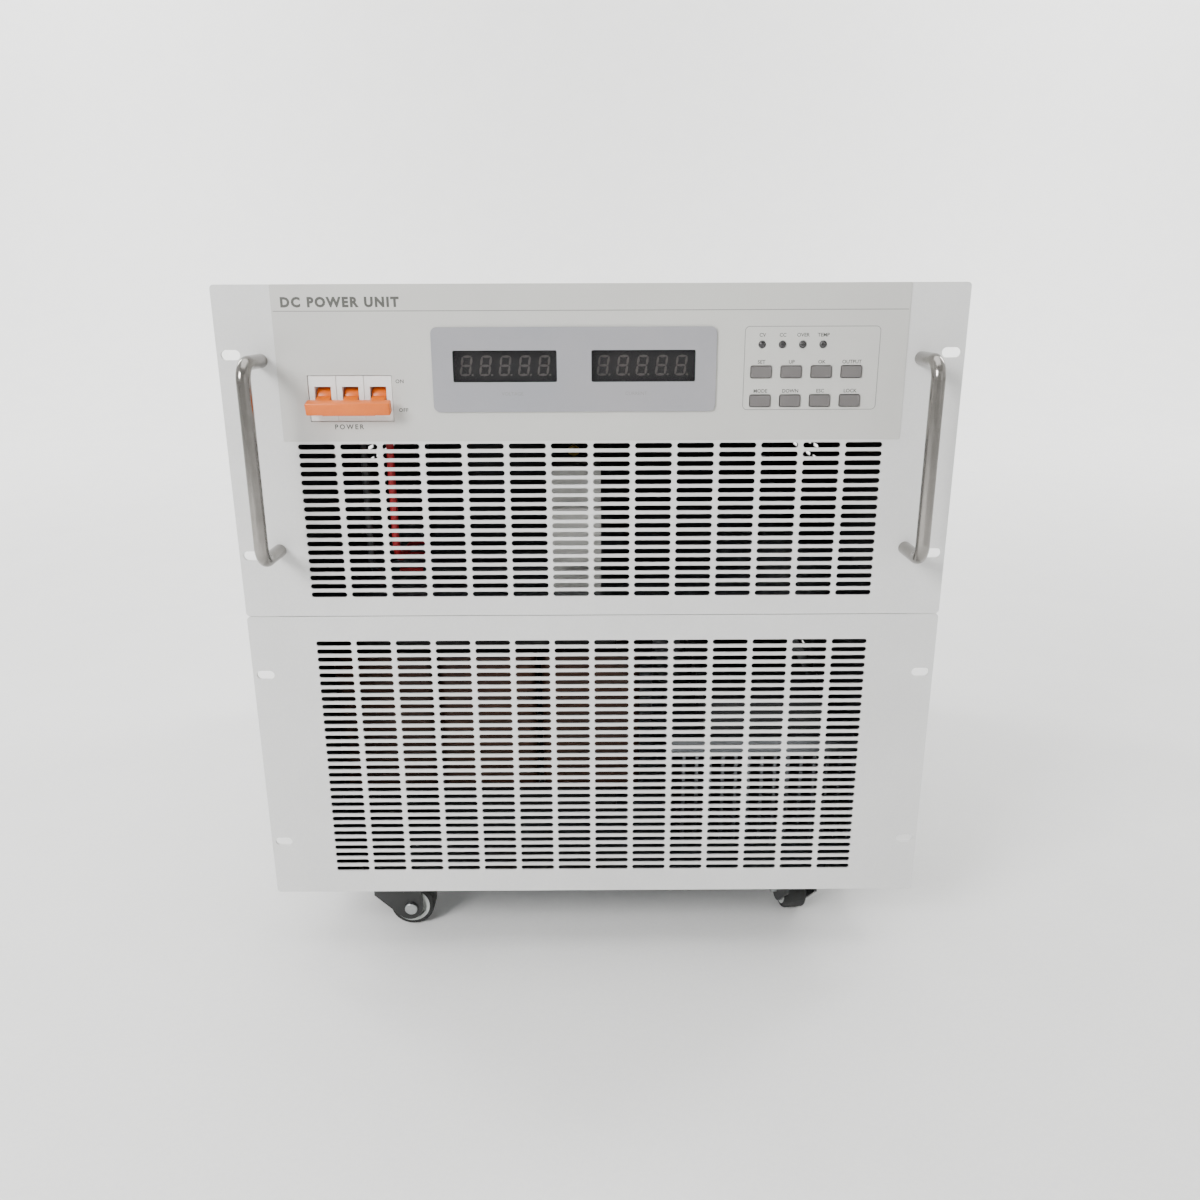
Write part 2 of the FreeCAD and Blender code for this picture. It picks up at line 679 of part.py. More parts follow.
# ---------------------------------------------------------------- case
def castor_places():
    """Swivel axes: front left, front right, rear left, rear right."""
    front = Y_FRONT + CASTOR_INSET
    rear = Y_REAR - CASTOR_INSET
    return [(-CASTOR_X, front), (CASTOR_X, front), (-CASTOR_X, rear), (CASTOR_X, rear)]


def castor_screw_places():
    """Axes of the screws that hold the castor plates: x and y."""
    half = CASTOR_HOLES / 2
    return [(x + a * half, y + b * half) for x, y in castor_places() for a in (-1, 1) for b in (-1, 1)]


def screw_hole(start, direction):
    """Clearance hole for a case screw, cut from outside a sheet inwards."""
    length = SCREW_L + 2.0
    axis = Vector(*direction)
    return cylinder(SCREW_HOLE_R, Vector(*start) - axis, direction, length)


def side_screws(side):
    """Screws of one side sheet: into the posts, the base flange and the shelf flange."""
    x = side * CASE_W / 2
    places = []
    for y in (Y_CASE + SCREW_INSET, Y_INSIDE - SCREW_INSET):
        places += [(x, y, z) for z in SIDE_SCREW_Z]
    for y in FLANGE_SCREW_Y:
        places.append((x, y, Z_CASE + BASE_T + SCREW_INSET))
        places.append((x, y, Z_SHELF - BASE_T - SCREW_INSET))
    return [(place, (-side, 0, 0)) for place in places]


def top_screws():
    """Screws of the top cover, down into the side sheets' top flanges."""
    x = X_INSIDE - SCREW_INSET
    return [((side * x, y, Z_TOP), (0, 0, -1)) for side in (-1, 1) for y in FLANGE_SCREW_Y]


def rear_screws():
    """Screws of the rear panel, into the rear posts."""
    x = X_INSIDE - SCREW_INSET
    return [((side * x, Y_REAR, z), (0, -1, 0)) for side in (-1, 1) for z in SIDE_SCREW_Z]


def fan_screws():
    """Screws of the fans, through the rear panel into the fan frames."""
    half = FAN_HOLES / 2
    corners = [(a * half, b * half) for a in (-1, 1) for b in (-1, 1)]
    return [((side * FAN_X + a, Y_REAR, FAN_Z + b), (0, -1, 0)) for side in (-1, 1) for a, b in corners]


def castor_screws():
    """Screws of the castor plates, up into the base plate."""
    z = Z_CASE - CASTOR_PLATE_T
    return [((x, y, z), (0, 0, 1)) for x, y in castor_screw_places()]


def all_case_screws():
    """Every case screw: the point under its head and its direction."""
    return side_screws(-1) + side_screws(1) + top_screws() + rear_screws() + fan_screws() + castor_screws()


def holes_for(screws):
    """Clearance holes for a list of case screws."""
    return [screw_hole(start, direction) for start, direction in screws]


def case_screws():
    """The case screws as separate solids, each a domed head and a plain shank."""
    screws = []
    for start, direction in all_case_screws():
        point = Vector(*start)
        axis = Vector(*direction)
        head = cylinder(SCREW_HEAD_R, point, axis * -1, SCREW_HEAD_H)
        crown = point - axis * SCREW_HEAD_H
        rim = [edge for edge in head.Edges if (edge.CenterOfMass - crown).Length < 0.01]
        shank = cylinder(SCREW_R, point, direction, SCREW_L)
        screws.append(joined([head.makeFillet(0.9, rim), shank]))
    return screws


def base_plate():
    """Base tray with a bent-up flange along each side, between the posts."""
    tray = [box((-X_INSIDE, Y_CASE, Z_CASE), (X_INSIDE, Y_INSIDE, Z_FLOOR))]
    start = Y_CASE + POST_LEG + 1.0
    end = Y_INSIDE - POST_LEG - 1.0
    for side in (-1, 1):
        outer = side * X_INSIDE
        inner = side * (X_INSIDE - BASE_T)
        low = min(outer, inner)
        tray.append(box((low, start, Z_CASE), (low + BASE_T, end, Z_FLOOR + FLANGE)))
    return joined(tray).cut(holes_for(side_screws(-1) + side_screws(1) + castor_screws()))


def side_panel(side):
    """Side sheet with two fields of vent slots and a top flange bent inwards."""
    plane = -CASE_W / 2 if side > 0 else X_INSIDE
    height = CASE_H - SHEET_T
    length = CASE_D - REAR_T
    y_middle = Y_CASE + length / 2
    outline = rectangle(y_middle, plane, Z_CASE + height / 2, length, height)
    slots = []
    for bay_z in (Z_CASE + PANEL_H / 2, Z_SHELF + PANEL_H / 2):
        for row in range(-4, 5):
            for column in (-2, -1, 0, 1, 2):
                y = y_middle + CASE_D * 0.18 + column * VENT_PITCH_X * 1.2
                slots.append(obround(y, plane, bay_z + row * VENT_PITCH_Z * 2, VENT_L, VENT_H))
    wall = turned(sheet(outline, slots, SHEET_T))
    inner = side * (X_INSIDE - FLANGE)
    outer = side * CASE_W / 2
    flange = box((min(inner, outer), Y_CASE, POST_TOP), (max(inner, outer), Y_INSIDE, POST_TOP + SHEET_T))
    return joined([wall, flange]).cut(holes_for(side_screws(side) + top_screws()))


def top_cover():
    """Flat top sheet over the side sheets' flanges."""
    low = (-CASE_W / 2, Y_CASE, Z_TOP - SHEET_T)
    return box(low, (CASE_W / 2, Y_INSIDE, Z_TOP)).cut(holes_for(top_screws()))


def corner_posts():
    """Four angle posts. The front ones take the front panels, the rear ones the rear panel."""
    posts = []
    for side in (-1, 1):
        for front in (True, False):
            y_outer = Y_CASE if front else Y_INSIDE
            inward = 1 if front else -1
            x_outer = side * X_INSIDE
            x_leg = sorted((x_outer, x_outer - side * POST_LEG))
            y_leg = sorted((y_outer, y_outer + inward * POST_T))
            across = box((x_leg[0], y_leg[0], Z_FLOOR), (x_leg[1], y_leg[1], POST_TOP))
            x_leg = sorted((x_outer, x_outer - side * POST_T))
            y_leg = sorted((y_outer, y_outer + inward * POST_LEG))
            along = box((x_leg[0], y_leg[0], Z_FLOOR), (x_leg[1], y_leg[1], POST_TOP))
            posts.append(joined([across, along]))
    holes = holes_for(side_screws(-1) + side_screws(1) + rear_screws())
    for x, z in handle_places():
        holes.append(cylinder(HANDLE_SCREW_R + HOLE_FIT, (x, Y_CASE - 1, z), (0, 1, 0), POST_T + 2))
    return [post.cut(holes) for post in posts]


def middle_shelf():
    """Shelf between the bays, notched around the posts, with a flange bent down at each side."""
    notch = POST_LEG + 1.0
    shelf = box((-X_INSIDE, Y_CASE, Z_SHELF - BASE_T), (X_INSIDE, Y_INSIDE, Z_SHELF))
    start = Y_CASE + notch
    end = Y_INSIDE - notch
    pieces = [shelf]
    for side in (-1, 1):
        low = min(side * X_INSIDE, side * (X_INSIDE - BASE_T))
        pieces.append(box((low, start, Z_SHELF - BASE_T - FLANGE), (low + BASE_T, end, Z_SHELF)))
    corners = []
    for side in (-1, 1):
        low = min(side * X_INSIDE, side * (X_INSIDE - notch))
        corners.append(box((low, Y_CASE, Z_SHELF - 30), (low + notch, start, Z_SHELF + 1)))
        corners.append(box((low, end, Z_SHELF - 30), (low + notch, Y_INSIDE, Z_SHELF + 1)))
    return joined(pieces).cut(corners + holes_for(side_screws(-1) + side_screws(1)))


def fan_slots(y):
    """Vent slots of the rear panel: a round field in front of each fan."""
    slots = []
    reach = FAN_BORE_R - 2.0
    rows = int((reach - VENT_PITCH_Z) / (2 * VENT_PITCH_Z))
    for side in (-1, 1):
        for row in range(-rows, rows + 1):
            offset = row * 2 * VENT_PITCH_Z
            chord = 2 * math.sqrt(reach ** 2 - offset ** 2) - VENT_PITCH_Z
            half = (chord - VENT_PITCH_Z) / 2
            for end in (-1, 1):
                x = side * FAN_X + end * (half + VENT_PITCH_Z) / 2
                slots.append(obround(x, y, FAN_Z + offset, half, 2 * VENT_H))
    return slots


def rear_panel():
    """Rear panel: fan slots, output cut-out, holes for the input wires, the earth stud and the screws."""
    y = Y_INSIDE
    outline = rectangle(0, y, Z_CASE + CASE_H / 2, CASE_W, CASE_H)
    holes = fan_slots(y)
    bars_middle = sum(BAR_X) / 2
    cut_w = INSULATOR_W - 2 * INSULATOR_LAP
    cut_h = INSULATOR_H - 2 * INSULATOR_LAP
    holes.append(rectangle(bars_middle, y, TERMINAL_Z, cut_w, cut_h))
    holes += [circle(x, y, TERMINAL_Z, WIRE_R + 1.5) for x in block_ways()]
    holes.append(circle(STUD_X, y, Z_PANEL_TOP - STUD_DOWN, STUD_R + HOLE_FIT))
    return sheet(outline, holes, REAR_T).cut(holes_for(rear_screws() + fan_screws()))


# ---------------------------------------------------------------- castors
def placed(shape, index):
    """A castor piece, drawn with its swivel axis on Z and its wheel towards +X, put in its corner."""
    x, y = castor_places()[index]
    piece = shape.rotated(Vector(0, 0, 0), Vector(0, 0, 1), CASTOR_HEADINGS[index])
    piece.translate(Vector(x, y, 0))
    return piece


def castor_plate():
    """Top plate of a castor with its kingpin, whose head carries the fork."""
    z = CASTOR_H - CASTOR_PLATE_T
    half = CASTOR_PLATE / 2
    plate = box((-half, -half, z), (half, half, CASTOR_H))
    pin = cylinder(KINGPIN_R, (0, 0, z), (0, 0, -1), CROWN_GAP + CROWN_H + 0.3)
    head = cylinder(KINGPIN_HEAD_R, (0, 0, CROWN_LOW - 0.3), (0, 0, -1), KINGPIN_HEAD_H)
    return joined([plate, pin, head])


def castor_plates():
    """The four top plates, square to the case."""
    plates = []
    for x, y in castor_places():
        plate = castor_plate()
        plate.translate(Vector(x, y, 0))
        plates.append(plate)
    holes = holes_for(castor_screws())
    return [plate.cut(holes) for plate in plates]


def on_eye(y, angle):
    """Point on the rim of the fork's eye around the axle; 0 is straight ahead and -90 straight down."""
    turn = math.radians(angle)
    x = TRAIL - EYE_SET + FORK_EYE_R * math.cos(turn)
    return Vector(x, y, WHEEL_R + FORK_EYE_R * math.sin(turn))


def leg_outline(y):
    """Fork leg: from the crown, tapering to the eye around the axle."""
    shoulder = Vector(-YOKE_BACK, y, CROWN_LOW - FORK_T - YOKE_LIP)
    to_eye = Vector(TRAIL - EYE_SET, y, WHEEL_R) - shoulder
    slope = math.degrees(math.atan2(to_eye.z, to_eye.x))
    spread = math.degrees(math.asin(FORK_EYE_R / to_eye.Length))
    touch = slope - spread - 90
    heel = Vector(-YOKE_BACK, y, CROWN_LOW)
    toe = Vector(TRAIL - EYE_SET + FORK_EYE_R, y, CROWN_LOW)
    return Part.Wire([
        Part.makeLine(heel, shoulder),
        Part.makeLine(shoulder, on_eye(y, touch)),
        Part.Arc(on_eye(y, touch), on_eye(y, touch / 2), on_eye(y, 0)).toShape(),
        Part.makeLine(on_eye(y, 0), toe),
        Part.makeLine(toe, heel),
    ])


def castor_fork():
    """Pressed fork: round crown, yoke, and two legs with the axle holes."""
    crown_top = CROWN_LOW + CROWN_H
    half = WHEEL_W / 2 + FORK_GAP + FORK_T
    crown = cylinder(CROWN_R, (0, 0, CROWN_LOW), (0, 0, 1), CROWN_H)
    crown = crown.makeFillet(1.5, [e for e in crown.Edges if e.BoundBox.ZMin > crown_top - 0.01])
    legs = [Part.Face(leg_outline(y)).extrude(Vector(0, FORK_T, 0)) for y in (-half, half - FORK_T)]
    toe = TRAIL - EYE_SET + FORK_EYE_R
    yoke = box((-YOKE_BACK, -half, CROWN_LOW - FORK_T), (toe, half, CROWN_LOW))
    fork = joined([crown, yoke] + legs)
    bore = cylinder(KINGPIN_R + RUNNING_FIT, (0, 0, 0), (0, 0, 1), CASTOR_H)
    well = cylinder(KINGPIN_HEAD_R + 0.8, (0, 0, 0), (0, 0, 1), CROWN_LOW)
    axle = cylinder(AXLE_R + HOLE_FIT, (TRAIL, -2 * half, WHEEL_R), (0, 1, 0), 4 * half)
    return fork.cut([bore, well, axle])


def castor_axle():
    """Axle bolt with its head on one side of the fork and a nut on the other."""
    half = WHEEL_W / 2 + FORK_GAP + FORK_T
    pin = cylinder(AXLE_R, (TRAIL, -half, WHEEL_R), (0, 1, 0), 2 * half + 5.0)
    head = cylinder(5.0, (TRAIL, -half, WHEEL_R), (0, -1, 0), 2.6)
    head = head.makeFillet(1.0, [e for e in head.Edges if e.BoundBox.YMax < -half - 2.5])
    nut = hexagon(5.2, (TRAIL, half, WHEEL_R), (0, 1, 0), 4.0)
    return joined([pin, head, nut])


def castor_tyre():
    """Rubber tyre with rounded shoulders."""
    tyre = cylinder(WHEEL_R, (TRAIL, -WHEEL_W / 2, WHEEL_R), (0, 1, 0), WHEEL_W)
    tyre = tyre.makeFillet(2.5, tyre.Edges)
    core = cylinder(WHEEL_R - TYRE_T, (TRAIL, -WHEEL_W, WHEEL_R), (0, 1, 0), 2 * WHEEL_W)
    return tyre.cut(core)


def castor_hub():
    """Wheel centre with a web, a rim and a boss that runs on the axle."""
    rim_r = WHEEL_R - TYRE_T - TYRE_FIT
    side = WHEEL_W / 2
    hub = cylinder(rim_r, (TRAIL, -side, WHEEL_R), (0, 1, 0), WHEEL_W)
    recesses = []
    for y, direction in ((-side, 1), (side, -1)):
        ring = cylinder(rim_r - 2.5, (TRAIL, y, WHEEL_R), (0, direction, 0), 3.0)
        recesses.append(ring.cut(cylinder(AXLE_R + 2.5, (TRAIL, y, WHEEL_R), (0, direction, 0), 3.0)))
    bore = cylinder(AXLE_R + RUNNING_FIT, (TRAIL, -WHEEL_W, WHEEL_R), (0, 1, 0), 2 * WHEEL_W)
    boss_end = side + FORK_GAP - 0.4
    boss = cylinder(AXLE_R + 2.0, (TRAIL, -boss_end, WHEEL_R), (0, 1, 0), 2 * boss_end)
    return joined([hub.cut(recesses), boss]).cut(bore)


# ---------------------------------------------------------------- fans
def fan_frame(side):
    """Square fan frame with a round bore and a motor seat on four struts."""
    x = side * FAN_X
    y = Y_INSIDE - FAN_D
    half = FAN_SIZE / 2
    frame = box((x - half, y, FAN_Z - half), (x + half, Y_INSIDE, FAN_Z + half))
    frame = frame.makeFillet(6.0, [e for e in frame.Edges if e.BoundBox.YLength > FAN_D - 0.01])
    frame = frame.cut(cylinder(FAN_BORE_R, (x, y - 1, FAN_Z), (0, 1, 0), FAN_D + 2))
    seat = [cylinder(FAN_HUB_R, (x, y, FAN_Z), (0, 1, 0), 4.0)]
    for quarter in range(4):
        strut = box((x + FAN_HUB_R - 4, y, FAN_Z - 3), (x + FAN_BORE_R + 1, y + 4.0, FAN_Z + 3))
        seat.append(strut.rotated(Vector(x, y, FAN_Z), Vector(0, 1, 0), 45 + 90 * quarter))
    frame = joined([frame] + seat)
    holes = [cylinder(FAN_SHAFT_R + RUNNING_FIT, (x, y - 1, FAN_Z), (0, 1, 0), 6.0)]
    for a in (-1, 1):
        for b in (-1, 1):
            corner = (x + a * FAN_HOLES / 2, y - 1, FAN_Z + b * FAN_HOLES / 2)
            holes.append(cylinder(SCREW_HOLE_R, corner, (0, 1, 0), FAN_D + 2))
    return frame.cut(holes)


def fan_rotor(side):
    """Fan rotor: hub, slanted blades and the shaft that runs in the motor seat."""
    x = side * FAN_X
    y = Y_INSIDE - FAN_D + 5.5
    length = FAN_D - 5.5 - 4.0
    tip = FAN_BORE_R - FAN_TIP_GAP
    hub = cylinder(FAN_HUB_R - 1, (x, y, FAN_Z), (0, 1, 0), length)
    hub = hub.makeFillet(2.0, [e for e in hub.Edges if e.BoundBox.YMin > y + length - 0.01])
    half = FAN_BLADE_CHORD / 2
    middle = y + length / 2
    blades = []
    for index in range(FAN_BLADES):
        blade = box((-FAN_BLADE_T / 2, -half, FAN_HUB_R - 4), (FAN_BLADE_T / 2, half, tip + 4))
        blade.rotate(Vector(0, 0, 0), Vector(0, 0, 1), FAN_BLADE_ANGLE)
        blade.translate(Vector(x, middle, FAN_Z))
        blades.append(blade.rotated(Vector(x, 0, FAN_Z), Vector(0, 1, 0), 360.0 * index / FAN_BLADES))
    swept = cylinder(tip, (x, y, FAN_Z), (0, 1, 0), length)
    trimmed = [blade.common(swept) for blade in blades]
    shaft = cylinder(FAN_SHAFT_R, (x, Y_INSIDE - FAN_D + 0.5, FAN_Z), (0, 1, 0), 8.0)
    return joined([hub, shaft] + trimmed)


# ---------------------------------------------------------------- lower bay
def core_legs():
    """Centres of the three transformer legs along X."""
    return [CORE_X + step * 2 * CORE_LEG for step in (-1, 0, 1)]


def transformer_core():
    """Three-leg laminated core standing on the base plate."""
    width = 5 * CORE_LEG
    y = Y_CASE + CORE_Y
    low = (CORE_X - width / 2, y - CORE_D / 2, Z_FLOOR)
    core = box(low, (CORE_X + width / 2, y + CORE_D / 2, Z_FLOOR + CORE_H))
    windows = []
    for side in (-1, 1):
        x = CORE_X + side * CORE_LEG
        start = (x - CORE_LEG / 2, y - CORE_D, Z_FLOOR + CORE_YOKE)
        windows.append(box(start, (x + CORE_LEG / 2, y + CORE_D, Z_FLOOR + CORE_H - CORE_YOKE)))
    return core.cut(windows)


def transformer_coils():
    """One winding around each leg of the core."""
    y = Y_CASE + CORE_Y
    low = Z_FLOOR + CORE_YOKE + 2
    high = Z_FLOOR + CORE_H - CORE_YOKE - 2
    coils = []
    for x in core_legs():
        inner_x = CORE_LEG / 2 + COIL_GAP
        inner_y = CORE_D / 2 + COIL_GAP
        outer_x = inner_x + COIL_T
        outer_y = inner_y + COIL_T
        outer = box((x - outer_x, y - outer_y, low), (x + outer_x, y + outer_y, high))
        outer = outer.makeFillet(8.0, [e for e in outer.Edges if e.BoundBox.ZLength > high - low - 0.01])
        bore = box((x - inner_x, y - inner_y, low - 1), (x + inner_x, y + inner_y, high + 1))
        coils.append(outer.cut(bore))
    return coils


def heat_sink():
    """Finned heat sink: the fins stand on the base plate and the plate on top carries the modules."""
    left = SINK_X - SINK_W / 2
    front = Y_CASE + SINK_Y - SINK_D / 2
    plate = box((left, front, SINK_TOP - SINK_PLATE_T), (left + SINK_W, front + SINK_D, SINK_TOP))
    pitch = (SINK_W - SINK_FIN_T) / (SINK_FINS - 1)
    fins = []
    for index in range(SINK_FINS):
        x = left + index * pitch
        fins.append(box((x, front, Z_FLOOR), (x + SINK_FIN_T, front + SINK_D, SINK_TOP - SINK_PLATE_T)))
    return joined([plate] + fins)


def power_modules():
    """Moulded power modules in a row on the heat sink."""
    modules = []
    pitch = SINK_D / MODULE_COUNT
    front = Y_CASE + SINK_Y - SINK_D / 2
    for index in range(MODULE_COUNT):
        y = front + (index + 0.5) * pitch
        low = (SINK_X - MODULE_W / 2, y - MODULE_D / 2, SINK_TOP)
        modules.append(box(low, (SINK_X + MODULE_W / 2, y + MODULE_D / 2, SINK_TOP + MODULE_H)))
    return modules


def capacitor_bank():
    """Six can capacitors standing on the base plate."""
    cans = []
    top = Z_FLOOR + CAPACITOR_H
    for column in (-1, 0, 1):
        for row in (0, 1):
            x = CAPACITOR_X + column * CAPACITOR_PITCH
            y = Y_CASE + CAPACITOR_Y + row * CAPACITOR_PITCH
            can = cylinder(CAPACITOR_R, (x, y, Z_FLOOR), (0, 0, 1), CAPACITOR_H)
            cans.append(can.makeFillet(2.0, [e for e in can.Edges if e.BoundBox.ZMin > top - 0.01]))
    return cans


# ---------------------------------------------------------------- upper bay and rear connections
def contactor():
    """Main contactor on the shelf: a moulded block, stepped back at its top and its foot."""
    front = Y_CASE + CONTACTOR_Y - CONTACTOR_D / 2
    left = CONTACTOR_X - CONTACTOR_W / 2
    right = left + CONTACTOR_W
    body = box((left, front, Z_SHELF), (right, front + CONTACTOR_D, Z_SHELF + CONTACTOR_H))
    step_y = front + CONTACTOR_STEP
    band = CONTACTOR_H * 0.28
    foot = box((left - 1, front - 1, Z_SHELF - 1), (right + 1, step_y, Z_SHELF + band))
    roof = Z_SHELF + CONTACTOR_H
    head = box((left - 1, front - 1, roof - band), (right + 1, step_y, roof + 1))
    return body.cut([head, foot])


def block_ways():
    """Centres of the input block's ways along X."""
    return [BLOCK_X + (way - (BLOCK_WAYS - 1) / 2) * BLOCK_WAY_W for way in range(BLOCK_WAYS)]


def input_terminal_block():
    """Input barrier block on the rear panel: ways between barriers, each with two clamp screws."""
    width = BLOCK_WAYS * BLOCK_WAY_W + BLOCK_BARRIER_T
    low_z = TERMINAL_Z - BLOCK_H / 2
    high_z = TERMINAL_Z + BLOCK_H / 2
    pieces = [box((BLOCK_X - width / 2, Y_REAR, low_z), (BLOCK_X + width / 2, Y_REAR + BLOCK_D, high_z))]
    for index in range(BLOCK_WAYS + 1):
        x = BLOCK_X - width / 2 + index * BLOCK_WAY_W
        pieces.append(box((x, Y_REAR, low_z), (x + BLOCK_BARRIER_T, Y_REAR + BLOCK_BARRIER_D, high_z)))
    for x in block_ways():
        for end in (-1, 1):
            start = (x, Y_REAR + BLOCK_D, TERMINAL_Z + end * BLOCK_H / 4)
            pieces.append(cylinder(BLOCK_SCREW_R, start, (0, 1, 0), BLOCK_SCREW_H))
    block = joined(pieces)
    entry_r = WIRE_R + HOLE_FIT
    mouths = [(x, Y_REAR - 1, TERMINAL_Z) for x in block_ways()]
    return block.cut([cylinder(entry_r, mouth, (0, 1, 0), BLOCK_D - 1) for mouth in mouths])


def output_busbars():
    """Two flat copper bars, each with one bolt hole outside the cabinet."""
    bars = []
    for x in BAR_X:
        low = (x - BAR_W / 2, Y_REAR - BAR_INSIDE, TERMINAL_Z - BAR_T / 2)
        bar = box(low, (x + BAR_W / 2, Y_REAR + BAR_REACH, TERMINAL_Z + BAR_T / 2))
        start = (x, Y_REAR + BAR_REACH - BAR_HOLE_IN, TERMINAL_Z - BAR_T)
        bars.append(bar.cut(cylinder(BAR_HOLE_R, start, (0, 0, 1), 2 * BAR_T)))
    return bars


def busbar_insulator():
    """Insulating board on the rear panel that the output bars pass through."""
    middle = sum(BAR_X) / 2
    outline = rounded(middle, Y_REAR, TERMINAL_Z, INSULATOR_W, INSULATOR_H, 4.0)
    slots = [rectangle(x, Y_REAR, TERMINAL_Z, BAR_W + 2 * BAR_FIT, BAR_T + 2 * BAR_FIT) for x in BAR_X]
    return sheet(outline, slots, INSULATOR_T)


def ground_stud():
    """Protective earth stud through the rear panel, with its two nuts tightened on."""
    z = Z_PANEL_TOP - STUD_DOWN
    stud = cylinder(STUD_R, (STUD_X, Y_INSIDE - STUD_IN, z), (0, 1, 0), STUD_IN + REAR_T + STUD_OUT)
    outer = hexagon(STUD_NUT_R, (STUD_X, Y_REAR, z), (0, 1, 0), STUD_NUT_H)
    inner = hexagon(STUD_NUT_R, (STUD_X, Y_INSIDE, z), (0, -1, 0), STUD_NUT_H)
    return joined([stud, outer, inner])


def wiring_loom():
    """Insulated wires: three from the input block to the breaker, three on to the contactor."""
    wires = []
    breaker_y = Y_CASE + BREAKER_D / 2
    top = BREAKER_Z + BREAKER_H / 2
    foot = BREAKER_Z - BREAKER_H / 2
    for pole, x in enumerate(pole_places()):
        way = block_ways()[pole]
        roof = (top + POST_TOP) / 2
        turn_y = Y_INSIDE - 60.0 - 12 * pole
        supply = [(x, breaker_y, top - WIRE_GRIP), (x, breaker_y, roof), (x, turn_y, roof),
                  (way, turn_y, TERMINAL_Z), (way, Y_REAR + WIRE_GRIP, TERMINAL_Z)]
        wires.append(rod(supply, WIRE_BEND / 2, WIRE_R))
        low = Z_SHELF + 12.0 + 10 * pole
        back = Y_CASE + CONTACTOR_Y - 10 + 10 * pole
        feed = [(x, breaker_y, foot + WIRE_GRIP), (x, breaker_y, low), (x, back, low),
                (CONTACTOR_X - CONTACTOR_W / 2, back, low)]
        wires.append(rod(feed, WIRE_BEND, WIRE_R))
    return wires


# ---------------------------------------------------------------- build
def build():
    """Write every node."""
    os.makedirs("parts", exist_ok=True)
    save("base_plate", base_plate())
    save("left_side_panel", side_panel(-1))
    save("right_side_panel", side_panel(1))
    save("top_cover", top_cover())
    save("rear_panel", rear_panel())
    save("middle_shelf", middle_shelf())
    save("corner_posts", corner_posts())
    save("case_screws", case_screws())
    save("upper_front_panel", upper_front_panel())
    save("lower_front_panel", lower_front_panel())
    save("control_overlay", control_overlay())
    save("display_plate", display_plate())
    save("display_windows", display_windows())
    save("display_modules", display_modules())
    save("control_board", control_board())
    save("status_leds", status_leds())
    for index, (x, z) in enumerate(key_places()):
        save("key_%d" % (index + 1), key_cap(x, z))
    save("breaker_body", breaker_body())
    save("breaker_toggle", breaker_toggle())
    save("left_handle", handle(-1))
    save("right_handle", handle(1))
    save("handle_screws", handle_screws())
    save("castor_plates", castor_plates())
    for index in range(len(castor_places())):
        number = index + 1
        save("castor_fork_%d" % number, placed(castor_fork(), index))
        save("castor_axle_%d" % number, placed(castor_axle(), index))
        save("castor_tyre_%d" % number, placed(castor_tyre(), index))
        save("castor_hub_%d" % number, placed(castor_hub(), index))
    save("fan_frames", [fan_frame(-1), fan_frame(1)])
    save("fan_rotor_1", fan_rotor(-1))
    save("fan_rotor_2", fan_rotor(1))
    save("transformer_core", transformer_core())
    save("transformer_coils", transformer_coils())
    save("heat_sink", heat_sink())
    save("power_modules", power_modules())
    save("capacitor_bank", capacitor_bank())
    save("contactor", contactor())
    save("input_terminal_block", input_terminal_block())
    save("output_busbars", output_busbars())
    save("busbar_insulator", busbar_insulator())
    save("ground_stud", ground_stud())
    save("wiring_loom", wiring_loom())


build()
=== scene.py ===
"""Looks of a rack-style bench power supply on castors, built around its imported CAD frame.

Every length is in metres, in the frame of the CAD model: +X to the right of someone facing the controls,
+Y from the front to the back, +Z up, with the floor at Z = 0.
"""
import json
import logging
import math
from dataclasses import dataclass
from enum import Enum
from typing import Any, Callable, Iterable, Optional, Sequence

import bpy
from mathutils import Matrix, Vector


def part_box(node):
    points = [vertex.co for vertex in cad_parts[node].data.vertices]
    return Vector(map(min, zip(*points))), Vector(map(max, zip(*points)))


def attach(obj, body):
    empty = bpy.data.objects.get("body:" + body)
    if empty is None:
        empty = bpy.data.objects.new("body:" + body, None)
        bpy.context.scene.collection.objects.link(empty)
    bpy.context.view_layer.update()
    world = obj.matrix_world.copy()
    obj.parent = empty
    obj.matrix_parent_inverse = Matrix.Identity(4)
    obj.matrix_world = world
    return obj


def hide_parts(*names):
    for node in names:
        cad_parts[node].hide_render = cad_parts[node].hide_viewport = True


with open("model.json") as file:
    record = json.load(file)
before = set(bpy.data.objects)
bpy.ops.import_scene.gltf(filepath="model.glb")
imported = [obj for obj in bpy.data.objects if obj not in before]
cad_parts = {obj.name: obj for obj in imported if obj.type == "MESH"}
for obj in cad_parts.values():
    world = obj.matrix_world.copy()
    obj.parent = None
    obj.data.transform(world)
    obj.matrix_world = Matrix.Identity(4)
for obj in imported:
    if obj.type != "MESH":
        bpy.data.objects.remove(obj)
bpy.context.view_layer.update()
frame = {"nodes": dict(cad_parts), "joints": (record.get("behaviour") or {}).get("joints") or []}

LOG = logging.getLogger("power_supply")
MM = 0.001
Test = Callable[[Vector, Vector], bool]


# ---------------------------------------------------------------- small tools
def linear(code: str, alpha: float = 1.0) -> tuple[float, float, float, float]:
    """Turns an sRGB hex colour into a linear one.

    Args:
        code: colour as six hex digits, such as "D4D4D2".
        alpha: opacity to give it.

    Returns:
        Red, green, blue and alpha, linear.
    """
    channels = []
    for start in (0, 2, 4):
        value = int(code[start:start + 2], 16) / 255.0
        channels.append(value / 12.92 if value <= 0.04045 else ((value + 0.055) / 1.055) ** 2.4)
    return channels[0], channels[1], channels[2], alpha


def corners(node: str) -> tuple[Vector, Vector]:
    """Gives the lowest and highest corners of a CAD node at rest."""
    low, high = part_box(node)
    return Vector(low), Vector(high)


